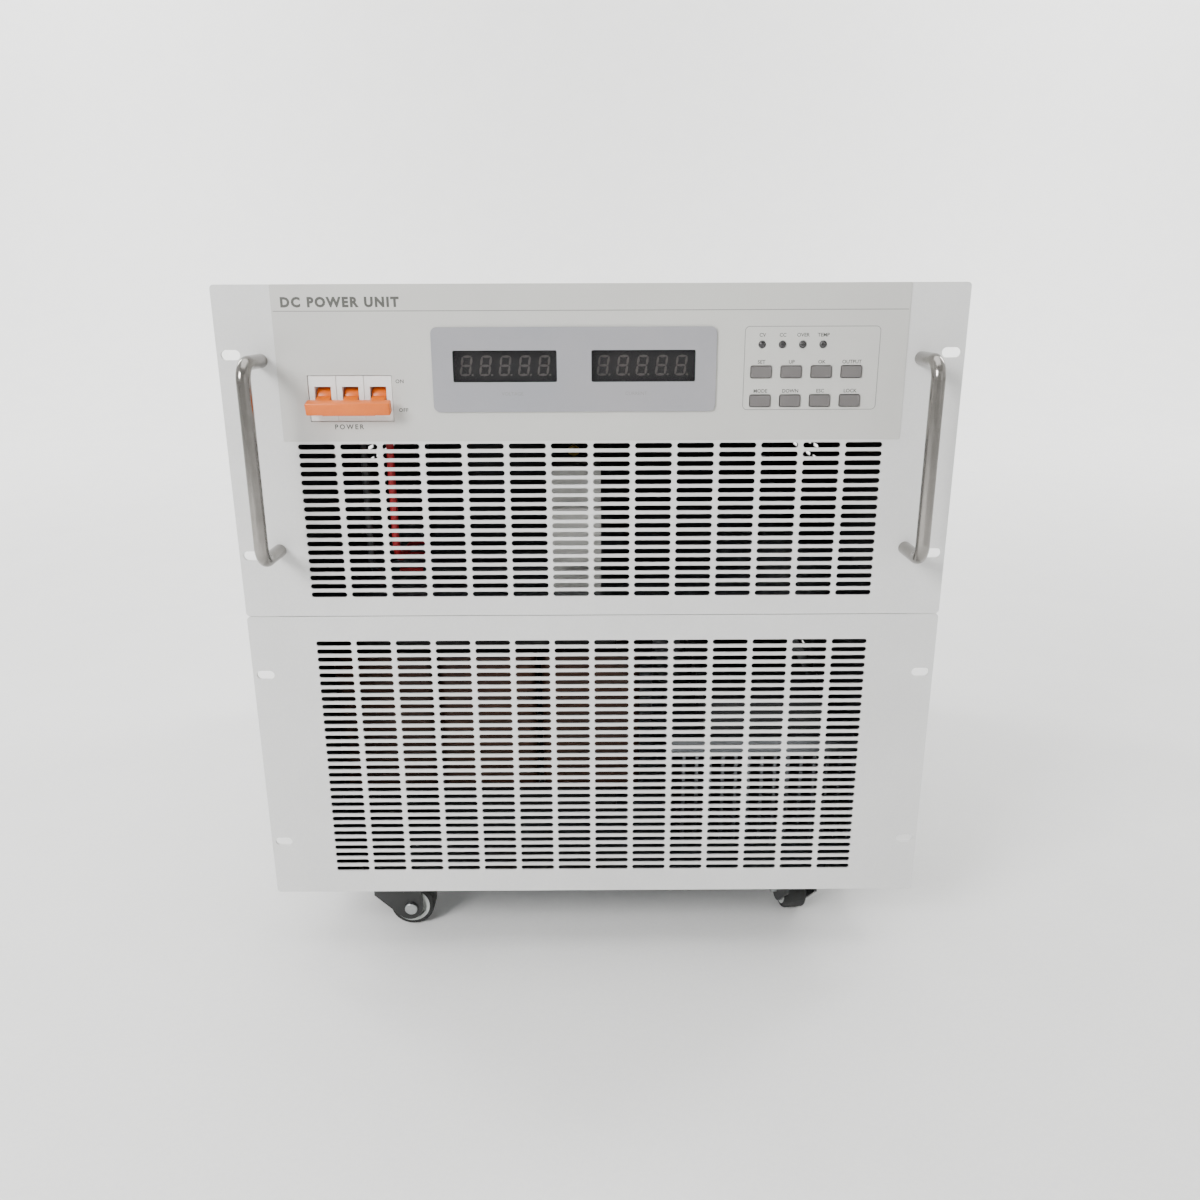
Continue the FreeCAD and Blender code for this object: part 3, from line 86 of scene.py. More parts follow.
def joint_place(name: str) -> Vector:
    """Gives the point that a hinge of the frame turns about.

    Args:
        name: name of the joint.

    Returns:
        The point.
    """
    for joint in frame["joints"]:
        if joint["name"] == name:
            return Vector(joint["pos_m"])
    raise KeyError(name)


def deselect() -> None:
    """Leaves edit mode and clears the selection, so that an operator acts only on what comes next."""
    if bpy.context.object and bpy.context.object.mode != "OBJECT":
        bpy.ops.object.mode_set(mode="OBJECT")
    bpy.ops.object.select_all(action="DESELECT")


def only(piece: bpy.types.Object) -> None:
    """Selects one object and makes it the active one."""
    deselect()
    piece.select_set(True)
    bpy.context.view_layer.objects.active = piece


def settle(piece: bpy.types.Object) -> bpy.types.Object:
    """Moves an object's place, turn and scale into its mesh."""
    only(piece)
    bpy.ops.object.transform_apply(location=True, rotation=True, scale=True)
    return piece


def new_box(name: str, low: Sequence[float], high: Sequence[float]) -> bpy.types.Object:
    """Adds a box between two corners, as the start of a piece.

    Args:
        name: name of the new object.
        low: lowest corner.
        high: highest corner.

    Returns:
        The box, with its place in its mesh.
    """
    deselect()
    low, high = Vector(low), Vector(high)
    bpy.ops.mesh.primitive_cube_add(size=1.0, location=(low + high) / 2)
    piece = bpy.context.object
    piece.name = name
    piece.scale = high - low
    return settle(piece)


def new_round(name: str, radius: float, start: Sequence[float], axis: Sequence[float], length: float,
              sides: int = 32) -> bpy.types.Object:
    """Adds a round bar from a start point along an axis, as the start of a piece.

    Args:
        name: name of the new object.
        radius: radius of the bar.
        start: middle of its first end.
        axis: unit vector towards its other end.
        length: length of the bar.
        sides: number of flats.

    Returns:
        The bar, with its place in its mesh.
    """
    deselect()
    along = Vector(axis)
    bpy.ops.mesh.primitive_cylinder_add(vertices=sides, radius=radius, depth=length,
                                        location=Vector(start) + along * (length / 2),
                                        rotation=along.to_track_quat("Z", "Y").to_euler())
    piece = bpy.context.object
    piece.name = name
    return settle(piece)


def pick_faces(piece: bpy.types.Object, test: Test) -> None:
    """Enters edit mode with only the faces selected that pass a test.

    Args:
        piece: the object.
        test: says yes or no to a face's centre and normal.
    """
    only(piece)
    bpy.ops.object.mode_set(mode="EDIT")
    bpy.ops.mesh.select_mode(type="FACE")
    bpy.ops.mesh.select_all(action="DESELECT")
    bpy.ops.object.mode_set(mode="OBJECT")
    for face in piece.data.polygons:
        face.select = test(face.center, face.normal)
    bpy.ops.object.mode_set(mode="EDIT")


def pick_points(piece: bpy.types.Object, test: Callable[[Vector], bool]) -> None:
    """Enters edit mode with only the vertices selected that pass a test.

    Args:
        piece: the object.
        test: says yes or no to a vertex's place.
    """
    only(piece)
    bpy.ops.object.mode_set(mode="EDIT")
    bpy.ops.mesh.select_mode(type="VERT")
    bpy.ops.mesh.select_all(action="DESELECT")
    bpy.ops.object.mode_set(mode="OBJECT")
    for vertex in piece.data.vertices:
        vertex.select = test(vertex.co)
    bpy.ops.object.mode_set(mode="EDIT")


def leave_edit() -> None:
    """Goes back to object mode."""
    bpy.ops.object.mode_set(mode="OBJECT")


def apply_modifier(piece: bpy.types.Object, kind: str, **settings: Any) -> None:
    """Adds one modifier with its settings and applies it.

    Args:
        piece: the object.
        kind: type name of the modifier, such as "BEVEL".
        settings: its properties and their values.
    """
    only(piece)
    modifier = piece.modifiers.new(kind.title(), kind)
    for name, value in settings.items():
        setattr(modifier, name, value)
    bpy.ops.object.modifier_apply(modifier=modifier.name)


def ease(piece: bpy.types.Object, width: float, segments: int = 2) -> bpy.types.Object:
    """Rounds the sharp edges of a piece."""
    apply_modifier(piece, "BEVEL", width=width, segments=segments, limit_method="ANGLE",
                   angle_limit=math.radians(35))
    return piece


def smooth(piece: bpy.types.Object, angle: float = 35.0) -> bpy.types.Object:
    """Shades a piece smooth except across its sharp edges.

    Args:
        piece: the object.
        angle: turn at an edge, in degrees, from which it stays sharp.

    Returns:
        The same object.
    """
    only(piece)
    bpy.ops.object.shade_smooth_by_angle(angle=math.radians(angle))
    return piece


def carve(piece: bpy.types.Object, cutter: bpy.types.Object) -> bpy.types.Object:
    """Cuts one piece with another, which is then removed.

    Args:
        piece: the object that is cut.
        cutter: the object that is taken away from it.

    Returns:
        The cut object.
    """
    apply_modifier(piece, "BOOLEAN", operation="DIFFERENCE", object=cutter, solver="EXACT")
    bpy.data.objects.remove(cutter, do_unlink=True)
    return piece


def join(name: str, parts: Iterable[bpy.types.Object]) -> bpy.types.Object:
    """Joins parts into one object.

    Args:
        name: name of the joined object.
        parts: the objects, of which the first gives its place.

    Returns:
        The joined object.
    """
    parts = list(parts)
    deselect()
    for part in parts:
        part.select_set(True)
    bpy.context.view_layer.objects.active = parts[0]
    if len(parts) > 1:
        bpy.ops.object.join()
    piece = bpy.context.object
    piece.name = name
    piece.data.name = name
    return piece


def copy_at(master: bpy.types.Object, place: Matrix) -> bpy.types.Object:
    """Copies a piece with its own mesh and puts the copy in place.

    Args:
        master: the object that is copied.
        place: where the copy's mesh is moved to.

    Returns:
        The copy.
    """
    piece = master.copy()
    piece.data = master.data.copy()
    bpy.context.scene.collection.objects.link(piece)
    piece.data.transform(place)
    return piece


def discard(piece: bpy.types.Object) -> None:
    """Removes a master piece after its copies are made."""
    bpy.data.objects.remove(piece, do_unlink=True)


def dress(piece: bpy.types.Object, material: bpy.types.Material) -> bpy.types.Object:
    """Gives a piece or a CAD node one material all over.

    Args:
        piece: the object.
        material: its material.

    Returns:
        The same object.
    """
    if not piece.material_slots:
        piece.data.materials.append(material)
    for slot in piece.material_slots:
        slot.material = material
    return piece


def add_piece(piece: bpy.types.Object, body: str, material: bpy.types.Material,
              stands_for: str = "") -> bpy.types.Object:
    """Hands a finished piece over to the frame.

    Args:
        piece: the finished object.
        body: name of the CAD body that it rides on.
        material: its material.
        stands_for: CAD node that it replaces, if any.

    Returns:
        The same object.
    """
    dress(piece, material)
    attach(piece, body)
    if stands_for:
        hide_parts(stands_for)
    LOG.info("%s rides on %s", piece.name, body)
    return piece


# ---------------------------------------------------------------- finishes
def add_node(tree: bpy.types.NodeTree, kind: str, settings: Optional[dict[str, Any]] = None,
             inputs: Optional[dict[Any, Any]] = None) -> bpy.types.Node:
    """Adds a shader node, sets its properties and sets or links its inputs.

    Args:
        tree: the node tree of the material.
        kind: type name of the node, such as "ShaderNodeBump".
        settings: property names and their values.
        inputs: input names or numbers, each with a value or with the output socket to link.

    Returns:
        The new node.
    """
    node = tree.nodes.new(kind)
    for name, value in (settings or {}).items():
        setattr(node, name, value)
    for key, value in (inputs or {}).items():
        if isinstance(value, bpy.types.NodeSocket):
            tree.links.new(value, node.inputs[key])
        else:
            node.inputs[key].default_value = value
    return node


# The box of the painted shade: inside it, the case paint is darkened.
def case_inside() -> tuple[Vector, Vector]:
    """Gives the box whose faces run through the middle of the case sheets.

    Returns:
        Lowest and highest corners.
    """
    left, _ = corners("left_side_panel")
    _, right = corners("right_side_panel")
    front, _ = corners("upper_front_panel")
    _, rear = corners("rear_panel")
    base, _ = corners("base_plate")
    _, top = corners("top_cover")
    half_side = 0.7 * MM
    half_plate = 1.0 * MM
    half_panel = 1.2 * MM
    low = Vector((left.x + half_side, front.y + half_panel, base.z + half_plate))
    return low, Vector((right.x - half_side, rear.y - half_plate, top.z - half_side))


def within(tree: bpy.types.NodeTree, place: bpy.types.NodeSocket, low: Sequence[float],
           high: Sequence[float]) -> bpy.types.NodeSocket:
    """Builds a mask that is 1 inside a box and 0 outside it.

    Args:
        tree: node tree of the material.
        place: object coordinates.
        low: lowest corner of the box.
        high: highest corner of the box.

    Returns:
        Socket with the mask.
    """
    split = add_node(tree, "ShaderNodeSeparateXYZ", {}, {0: place})
    mask = None
    for axis in range(3):
        half = (high[axis] - low[axis]) / 2
        near = add_node(tree, "ShaderNodeMath", {"operation": "COMPARE"},
                        {0: split.outputs[axis], 1: low[axis] + half, 2: half}).outputs[0]
        if mask is not None:
            near = add_node(tree, "ShaderNodeMath", {"operation": "MULTIPLY"}, {0: mask, 1: near}).outputs[0]
        mask = near
    return mask


class Grain(Enum):
    """Kinds of surface texture that a finish can carry."""

    PEEL = "orange peel of sprayed paint"
    SPARK = "spark-eroded texture of moulded plastic"
    BRUSHED = "fine lines left by brushing or drawing"
    SPANGLE = "crystal pattern of zinc plating"
    LAYERS = "edges of stacked sheets or turns of wire"
    RUBBER = "dull, slightly dusty rubber"


@dataclass(frozen=True)
class Finish:
    """One real material with its surface.

    Attributes:
        name: what the material is and how its surface was made.
        colour: main colour, sRGB hex.
        second: colour that it drifts to, sRGB hex.
        drift_mm: size of that drift.
        grain: kind of surface texture.
        grain_mm: spacing of the texture.
        height_mm: height of the texture.
        roughness: mean roughness.
        spread: how far the roughness varies.
        metallic: 1 for a bare metal.
        ior: index of refraction; a metal keeps the default.
        coat: strength of a clear coat.
        alpha: opacity.
        run: direction in which brushed lines run, or layers are stacked.
        inside_shade: colour of the painted shade on what faces the inside of the case, if it differs.
        live: colour of the wire on the breaker's right pole, if it differs.
    """

    name: str
    colour: str
    second: str
    grain: Grain
    grain_mm: float
    height_mm: float
    roughness: float
    spread: float = 0.05
    drift_mm: float = 90.0
    metallic: float = 0.0
    ior: float = 1.5
    coat: float = 0.0
    alpha: float = 1.0
    run: str = "X"
    inside_shade: str = ""
    live: str = ""

    def texture(self, tree: bpy.types.NodeTree, place: bpy.types.NodeSocket) -> bpy.types.NodeSocket:
        """Builds the height pattern of the surface texture.

        Args:
            tree: node tree of the material.
            place: object coordinates.

        Returns:
            Socket with the height, from 0 to 1.
        """
        scale = 1.0 / (self.grain_mm * MM)
        if self.grain is Grain.LAYERS:
            wave = add_node(tree, "ShaderNodeTexWave", {"bands_direction": self.run, "wave_profile": "SIN"},
                            {"Vector": place, "Scale": scale / 20.0, "Distortion": 0.4, "Detail": 1.0})
            return wave.outputs["Fac"]
        if self.grain is Grain.BRUSHED:
            stretch = {"X": (0.02, 1.0, 1.0), "Y": (1.0, 0.02, 1.0), "Z": (1.0, 1.0, 0.02)}[self.run]
            turn = add_node(tree, "ShaderNodeMapping", {}, {"Vector": place, "Scale": stretch})
            lines = add_node(tree, "ShaderNodeTexNoise", {}, {"Vector": turn.outputs[0], "Scale": scale,
                                                             "Detail": 3.0, "Roughness": 0.6})
            return lines.outputs["Fac"]
        if self.grain is Grain.SPANGLE:
            cells = add_node(tree, "ShaderNodeTexVoronoi", {"feature": "F1"},
                             {"Vector": place, "Scale": scale, "Randomness": 1.0})
            bright = add_node(tree, "ShaderNodeSeparateColor", {}, {"Color": cells.outputs["Color"]})
            return bright.outputs[0]
        detail = {Grain.PEEL: 2.0, Grain.SPARK: 5.0, Grain.RUBBER: 6.0}[self.grain]
        bumps = add_node(tree, "ShaderNodeTexNoise", {}, {"Vector": place, "Scale": scale, "Detail": detail,
                                                         "Roughness": 0.55})
        return bumps.outputs["Fac"]

    def build(self) -> bpy.types.Material:
        """Builds the material's nodes.

        Returns:
            The new material.
        """
        material = bpy.data.materials.new(self.name)
        material.use_nodes = True
        tree = material.node_tree
        tree.nodes.clear()
        place = add_node(tree, "ShaderNodeTexCoord").outputs["Object"]
        drift = add_node(tree, "ShaderNodeTexNoise", {}, {
            "Vector": place, "Scale": 1.0 / (self.drift_mm * MM), "Detail": 4.0, "Roughness": 0.6})
        height = self.texture(tree, place)
        blend = add_node(tree, "ShaderNodeMapRange", {}, {"Value": drift.outputs["Fac"], "From Min": 0.35,
                                                         "From Max": 0.65})
        mixed = add_node(tree, "ShaderNodeMix", {"data_type": "RGBA"},
                         {0: blend.outputs[0], 6: linear(self.colour), 7: linear(self.second)})
        # Painted shade: faces inside the case take a dark colour in place of the paint's own.
        if self.inside_shade:
            low, high = case_inside()
            mixed = add_node(tree, "ShaderNodeMix", {"data_type": "RGBA"}, {
                0: within(tree, place, low, high), 6: mixed.outputs[2], 7: linear(self.inside_shade)})
        if self.live:
            low, high = corners("breaker_body")
            third = (high.x - low.x) / 3
            mixed = add_node(tree, "ShaderNodeMix", {"data_type": "RGBA"},
                             {0: within(tree, place, (high.x - third, -1, -1), (high.x, 1, 1)),
                              6: mixed.outputs[2], 7: linear(self.live)})
        shade = add_node(tree, "ShaderNodeMix", {"data_type": "RGBA", "blend_type": "MULTIPLY"},
                         {0: self.tone(tree, height), 6: mixed.outputs[2], 7: linear("C8C8C8")})
        rough = add_node(tree, "ShaderNodeMapRange", {}, {
            "Value": height, "To Min": max(0.03, self.roughness - self.spread),
            "To Max": min(1.0, self.roughness + self.spread)})
        bump = add_node(tree, "ShaderNodeBump", {}, {"Height": height, "Distance": self.height_mm * MM,
                                                    "Strength": 1.0})
        shader = add_node(tree, "ShaderNodeBsdfPrincipled", {}, {
            "Base Color": shade.outputs[2], "Roughness": rough.outputs[0], "Normal": bump.outputs[0],
            "Metallic": self.metallic, "Alpha": self.alpha, "Coat Weight": self.coat})
        if not self.metallic:
            shader.inputs["IOR"].default_value = self.ior
        add_node(tree, "ShaderNodeOutputMaterial", {}, {"Surface": shader.outputs[0]})
        return material

    def tone(self, tree: bpy.types.NodeTree, height: bpy.types.NodeSocket) -> bpy.types.NodeSocket:
        """Turns the texture's hollows into a slight darkening.

        Args:
            tree: node tree of the material.
            height: the texture's height.

        Returns:
            Socket with the strength of the darkening.
        """
        strength = {Grain.LAYERS: 0.8, Grain.SPANGLE: 0.45, Grain.BRUSHED: 0.25, Grain.RUBBER: 0.35}
        fall = add_node(tree, "ShaderNodeMapRange", {}, {"Value": height, "From Min": 0.7, "From Max": 0.3,
                                                        "To Max": strength.get(self.grain, 0.08)})
        return fall.outputs[0]


# Polyester powder coat on the front panels: pale neutral grey, eggshell, with a faint orange peel. The real
# peel is about 0.8 mm; it is drawn at 1.6 mm so that it shows.
# Its faces inside the case are painted dark, as painted shade.
PANEL_PAINT = Finish("powder_coat_light_grey", "DEDEDD", "D9D9D8", Grain.PEEL, 1.6, 0.006, 0.42,
                     inside_shade="3C3C3C")
# The same paint on the case sheets, a touch darker and duller. What faces the inside of the case is painted
# dark, as painted shade of the closed case.
CASE_PAINT = Finish("powder_coat_case_grey", "D6D6D4", "CFCFCD", Grain.PEEL, 1.8, 0.008, 0.48,
                    inside_shade="363636")
# Zinc plating: cool grey with a crystal spangle a few millimetres across.
ZINC = Finish("zinc_plated_steel", "85888B", "75787B", Grain.SPANGLE, 4.0, 0.0, 0.45, 0.1, metallic=1.0)
# Zinc plated screws: brighter, with fine turning marks.
SCREW = Finish("zinc_plated_screw", "B9BBBB", "A2A5A6", Grain.BRUSHED, 0.3, 0.004, 0.3, 0.08, 8.0,
               metallic=1.0)
# Velvet polycarbonate label film: matt, a little darker and warmer than the paint around it.
LABEL_FILM = Finish("polycarbonate_velvet_film", "C9C9C4", "C4C3C0", Grain.SPARK, 0.5, 0.003, 0.55,
                    0.04, 160.0)
# Printed grey behind the same film, around the windows.
BEZEL = Finish("screen_printed_polycarbonate", "9B9A9E", "95969C", Grain.SPARK, 0.5, 0.003, 0.34, 0.04,
               60.0)
# Smoked acrylic: dark, polished, and just clear enough to show the digits behind it.
SMOKED = Finish("smoked_acrylic", "343032", "2C2D2F", Grain.SPARK, 2.0, 0.0005, 0.12, 0.02, ior=1.49,
                alpha=0.35)
# Printing ink on the film: warm dark grey.
INK = Finish("screen_ink_grey", "53544F", "4C4D49", Grain.SPARK, 0.4, 0.002, 0.6)
# Fine printed lines, paler than the lettering.
LINE_INK = Finish("screen_ink_pale", "8A8B87", "848581", Grain.SPARK, 0.4, 0.002, 0.6)
# Unlit digit segments: milky epoxy in a black reflector.
SEGMENT = Finish("epoxy_diffuser_unlit", "A39B96", "98918C", Grain.SPARK, 0.8, 0.004, 0.5)
# Face of the digit modules: black and matt, so that unlit segments stand out.
DISPLAY_FACE = Finish("abs_display_face_black", "232122", "1E1D1E", Grain.SPARK, 0.6, 0.006, 0.5)
# ABS keycaps: mid grey, moulded matt.
KEYCAP = Finish("abs_keycap_grey", "6B6867", "63605F", Grain.SPARK, 0.4, 0.008, 0.5)
# Tinted lens of an unlit lamp.
LENS = Finish("epoxy_lens_dark", "2F2D2E", "282728", Grain.SPARK, 1.0, 0.002, 0.25, coat=0.4)
# Breaker body: off-white thermoset with a fine texture.
BREAKER = Finish("thermoset_off_white", "F0F0EE", "E9E9E7", Grain.SPARK, 0.5, 0.008, 0.45)
# Breaker toggles: orange polyamide, slightly glossy from the mould.
ORANGE = Finish("polyamide_orange", "E66E00", "DC6600", Grain.SPARK, 0.5, 0.006, 0.38, 0.06, 14.0, ior=1.53)
# Handles: drawn stainless rod, satin polished along its length.
STAINLESS = Finish("stainless_rod_satin", "96938F", "86837F", Grain.BRUSHED, 0.25, 0.003, 0.17, 0.06, 30.0,
                   metallic=1.0, run="Z")
# Castor forks: pressed steel in glossy black stove enamel.
FORK_BLACK = Finish("stove_enamel_black", "101111", "171818", Grain.PEEL, 1.2, 0.01, 0.35, coat=0.2)
# Tyres: black rubber with a dull, dusty bloom.
TYRE = Finish("rubber_black", "1B1C1C", "2A2A29", Grain.RUBBER, 1.0, 0.02, 0.75, 0.1, 12.0)
# Wheel centres: pale grey polypropylene.
HUB = Finish("polypropylene_pale_grey", "C3C7C4", "B6BAB7", Grain.SPARK, 0.7, 0.01, 0.4, 0.06, 10.0)
# Black glass-filled nylon of the fans and the terminal block.
NYLON = Finish("glass_filled_nylon_black", "1D1D1E", "252526", Grain.SPARK, 0.5, 0.012, 0.52)
# Edges of varnished core laminations, drawn 2 mm apart so that they show.
CORE = Finish("varnished_laminations", "4B4A48", "3B3A39", Grain.LAYERS, 2.0, 0.05, 0.5, 0.1,
              metallic=0.6, run="Y")
# Windings: enamelled copper under dark brown varnish, one turn every 2.5 mm.
WINDING = Finish("varnished_copper_winding", "4A2C1C", "3A2318", Grain.LAYERS, 2.5, 0.2, 0.4, 0.1,
                 metallic=0.4, run="Z")
# Extruded aluminium with die lines along its length.
EXTRUDED = Finish("aluminium_extruded", "8C8F92", "808386", Grain.BRUSHED, 0.6, 0.01, 0.4, 0.1,
                  metallic=1.0, run="Y")
# Shrink sleeve of the capacitor cans.
SLEEVE = Finish("shrink_sleeve_blue_grey", "39414F", "333A47", Grain.SPARK, 1.0, 0.006, 0.35)
# Epoxy-faced module bricks.
MODULE = Finish("moulded_module_black", "262627", "2E2E2F", Grain.SPARK, 0.8, 0.01, 0.5)
# Contactor moulding: light warm grey.
CONTACTOR = Finish("thermoset_light_grey", "C9C8C4", "BFBEBA", Grain.SPARK, 0.6, 0.01, 0.5)
# Solder mask over copper tracks.
BOARD = Finish("solder_mask_green", "1F5A35", "2A6B3F", Grain.LAYERS, 2.5, 0.03, 0.35, run="X")
# Bare copper bars, drawn and lightly oxidised.
COPPER = Finish("copper_bar_drawn", "B8704A", "9A5A3C", Grain.BRUSHED, 0.4, 0.006, 0.33, 0.1, 25.0,
                metallic=1.0,
                run="Y")
# Red glass-polyester laminate board.
LAMINATE = Finish("polyester_laminate_red", "8C2B20", "7D261D", Grain.SPARK, 1.2, 0.01, 0.5)
# Brass stud, turned: yellow, with fine rings.
BRASS = Finish("brass_turned", "C2A05A", "B4924E", Grain.BRUSHED, 0.3, 0.004, 0.3, 0.08, 10.0, metallic=1.0)
# Wire insulation: extruded PVC, red on the third phase and black on the others.
LOOM = Finish("pvc_insulation_black_and_red", "1C1C1D", "242425", Grain.SPARK, 1.0, 0.004, 0.4,
              live="B3262B")
# White ink on the red board.
PALE_INK = Finish("screen_ink_white", "E8E8E4", "E0E0DC", Grain.SPARK, 0.4, 0.002, 0.5)
# Painted studio floor: nearly white and matt.
FLOOR = Finish("studio_floor_pale", "F4F4F3", "F2F2F1", Grain.SPARK, 3.0, 0.0, 0.7)


class Stock:
    """Materials of the scene, each built once."""

    def __init__(self) -> None:
        """Starts with no material built."""
        self._built: dict[str, bpy.types.Material] = {}

    def get(self, finish: Finish) -> bpy.types.Material:
        """Gives the material of a finish, building it the first time."""
        if finish.name not in self._built:
            self._built[finish.name] = finish.build()
        return self._built[finish.name]


STOCK = Stock()


# ---------------------------------------------------------------- cabinet
@dataclass
class Screws:
    """Cross-recessed pan head screws in place of the CAD model's plain ones.

    Attributes:
        recess_width: width of one arm of the cross.
        recess_span: length of the cross from end to end.
        recess_depth: depth of the cross.
        crown: rounding of the head's rim.
        taper: width of the recess's floor, as a share of its mouth.
        twist: how far each screw is turned from the one before it, in radians.
    """

    recess_width: float = 0.8 * MM
    recess_span: float = 4.4 * MM
    recess_depth: float = 1.3 * MM
    crown: float = 1.1 * MM
    taper: float = 0.55
    twist: float = 0.7

    def master(self, head_radius: float, head_height: float, shank_radius: float,
               shank: float) -> bpy.types.Object:
        """Models one screw with the top of its head at the origin, pointing down.

        Args:
            head_radius: radius of the head.
            head_height: height of the head.
            shank_radius: radius of the shank.
            shank: length of the shank.

        Returns:
            The finished screw.
        """
        screw = new_round("screw_master", head_radius, (0, 0, -head_height), (0, 0, 1), head_height, 24)
        pick_faces(screw, lambda centre, normal: normal.z > 0.9)
        bpy.ops.mesh.bevel(offset=self.crown, segments=3, affect="EDGES")
        pick_faces(screw, lambda centre, normal: normal.z < -0.9)
        bpy.ops.mesh.inset(thickness=head_radius - shank_radius)
        bpy.ops.mesh.extrude_region_move(TRANSFORM_OT_translate={"value": (0, 0, -shank)})
        leave_edit()
        half = self.recess_span / 2
        thin = self.recess_width / 2
        for low, high in (((-half, -thin), (half, thin)), ((-thin, -half), (thin, half))):
            arm = new_box("recess", (*low, -self.recess_depth), (*high, head_height))
            pick_faces(arm, lambda centre, normal: normal.z < -0.9)
            bpy.ops.transform.resize(value=(self.taper, self.taper, 1.0))
            leave_edit()
            carve(screw, arm)
        return smooth(screw, 30)

    def build(self, node: str, name: str) -> bpy.types.Object:
        """Puts a screw where each solid of a CAD node of screws is.

        Args:
            node: the CAD node.
            name: name of the new piece.

        Returns:
            The joined screws.
        """
        source = frame["nodes"][node]
        loose = source.copy()
        loose.data = source.data.copy()
        loose.parent = None
        loose.matrix_world = Matrix.Identity(4)
        bpy.context.scene.collection.objects.link(loose)
        only(loose)
        bpy.ops.object.mode_set(mode="EDIT")
        bpy.ops.mesh.select_all(action="SELECT")
        bpy.ops.mesh.remove_doubles(threshold=0.02 * MM)
        bpy.ops.mesh.separate(type="LOOSE")
        leave_edit()
        solids = list(bpy.context.selected_objects)
        copies = []
        master = None
        for solid in solids:
            points = [vertex.co.copy() for vertex in solid.data.vertices]
            low = Vector([min(point[axis] for point in points) for axis in range(3)])
            high = Vector([max(point[axis] for point in points) for axis in range(3)])
            size = high - low
            along = max(range(3), key=lambda axis: size[axis])
            centre = (low + high) / 2
            radial = [((point - centre) - (point - centre).project(Vector(
                [1.0 if axis == along else 0.0 for axis in range(3)]))).length for point in points]
            head_radius = max(radial)
            rim = [point[along] for point, reach in zip(points, radial) if reach > 0.95 * head_radius]
            towards_head = 1.0 if sum(rim) / len(rim) > centre[along] else -1.0
            under_head = min(rim) if towards_head > 0 else max(rim)
            top = high[along] if towards_head > 0 else low[along]
            if master is None:
                shank_radius = min(reach for reach in radial if reach > 0.2 * head_radius)
                master = self.master(head_radius, abs(top - under_head), shank_radius,
                                     size[along] - abs(top - under_head))
            outward = Vector([towards_head if axis == along else 0.0 for axis in range(3)])
            spot = centre.copy()
            spot[along] = top
            turn = outward.to_track_quat("Z", "Y").to_matrix().to_4x4()
            twist = Matrix.Rotation(self.twist * len(copies), 4, "Z")
            copies.append(copy_at(master, Matrix.Translation(spot) @ turn @ twist))
            discard(solid)
        discard(master)
        return join(name, copies)


@dataclass
class Cabinet:
    """Sheet metal of the case and the front panels, with its fasteners."""

    body: str = "cabinet"

    def build(self) -> None:
        """Dresses the sheets and replaces the screws."""
        nodes = frame["nodes"]
        for name in ("upper_front_panel", "lower_front_panel"):
            dress(nodes[name], STOCK.get(PANEL_PAINT))
        for name in ("left_side_panel", "right_side_panel", "top_cover", "rear_panel"):
            dress(nodes[name], STOCK.get(CASE_PAINT))
        for name in ("base_plate", "middle_shelf", "corner_posts"):
            dress(nodes[name], STOCK.get(ZINC))
        screws = Screws().build("case_screws", "case_screws_pan_head")
        add_piece(screws, self.body, STOCK.get(SCREW), "case_screws")
        dress(nodes["handle_screws"], STOCK.get(SCREW))
        for name in ("left_handle", "right_handle"):
            dress(nodes[name], STOCK.get(STAINLESS))
        LOG.info("cabinet dressed")


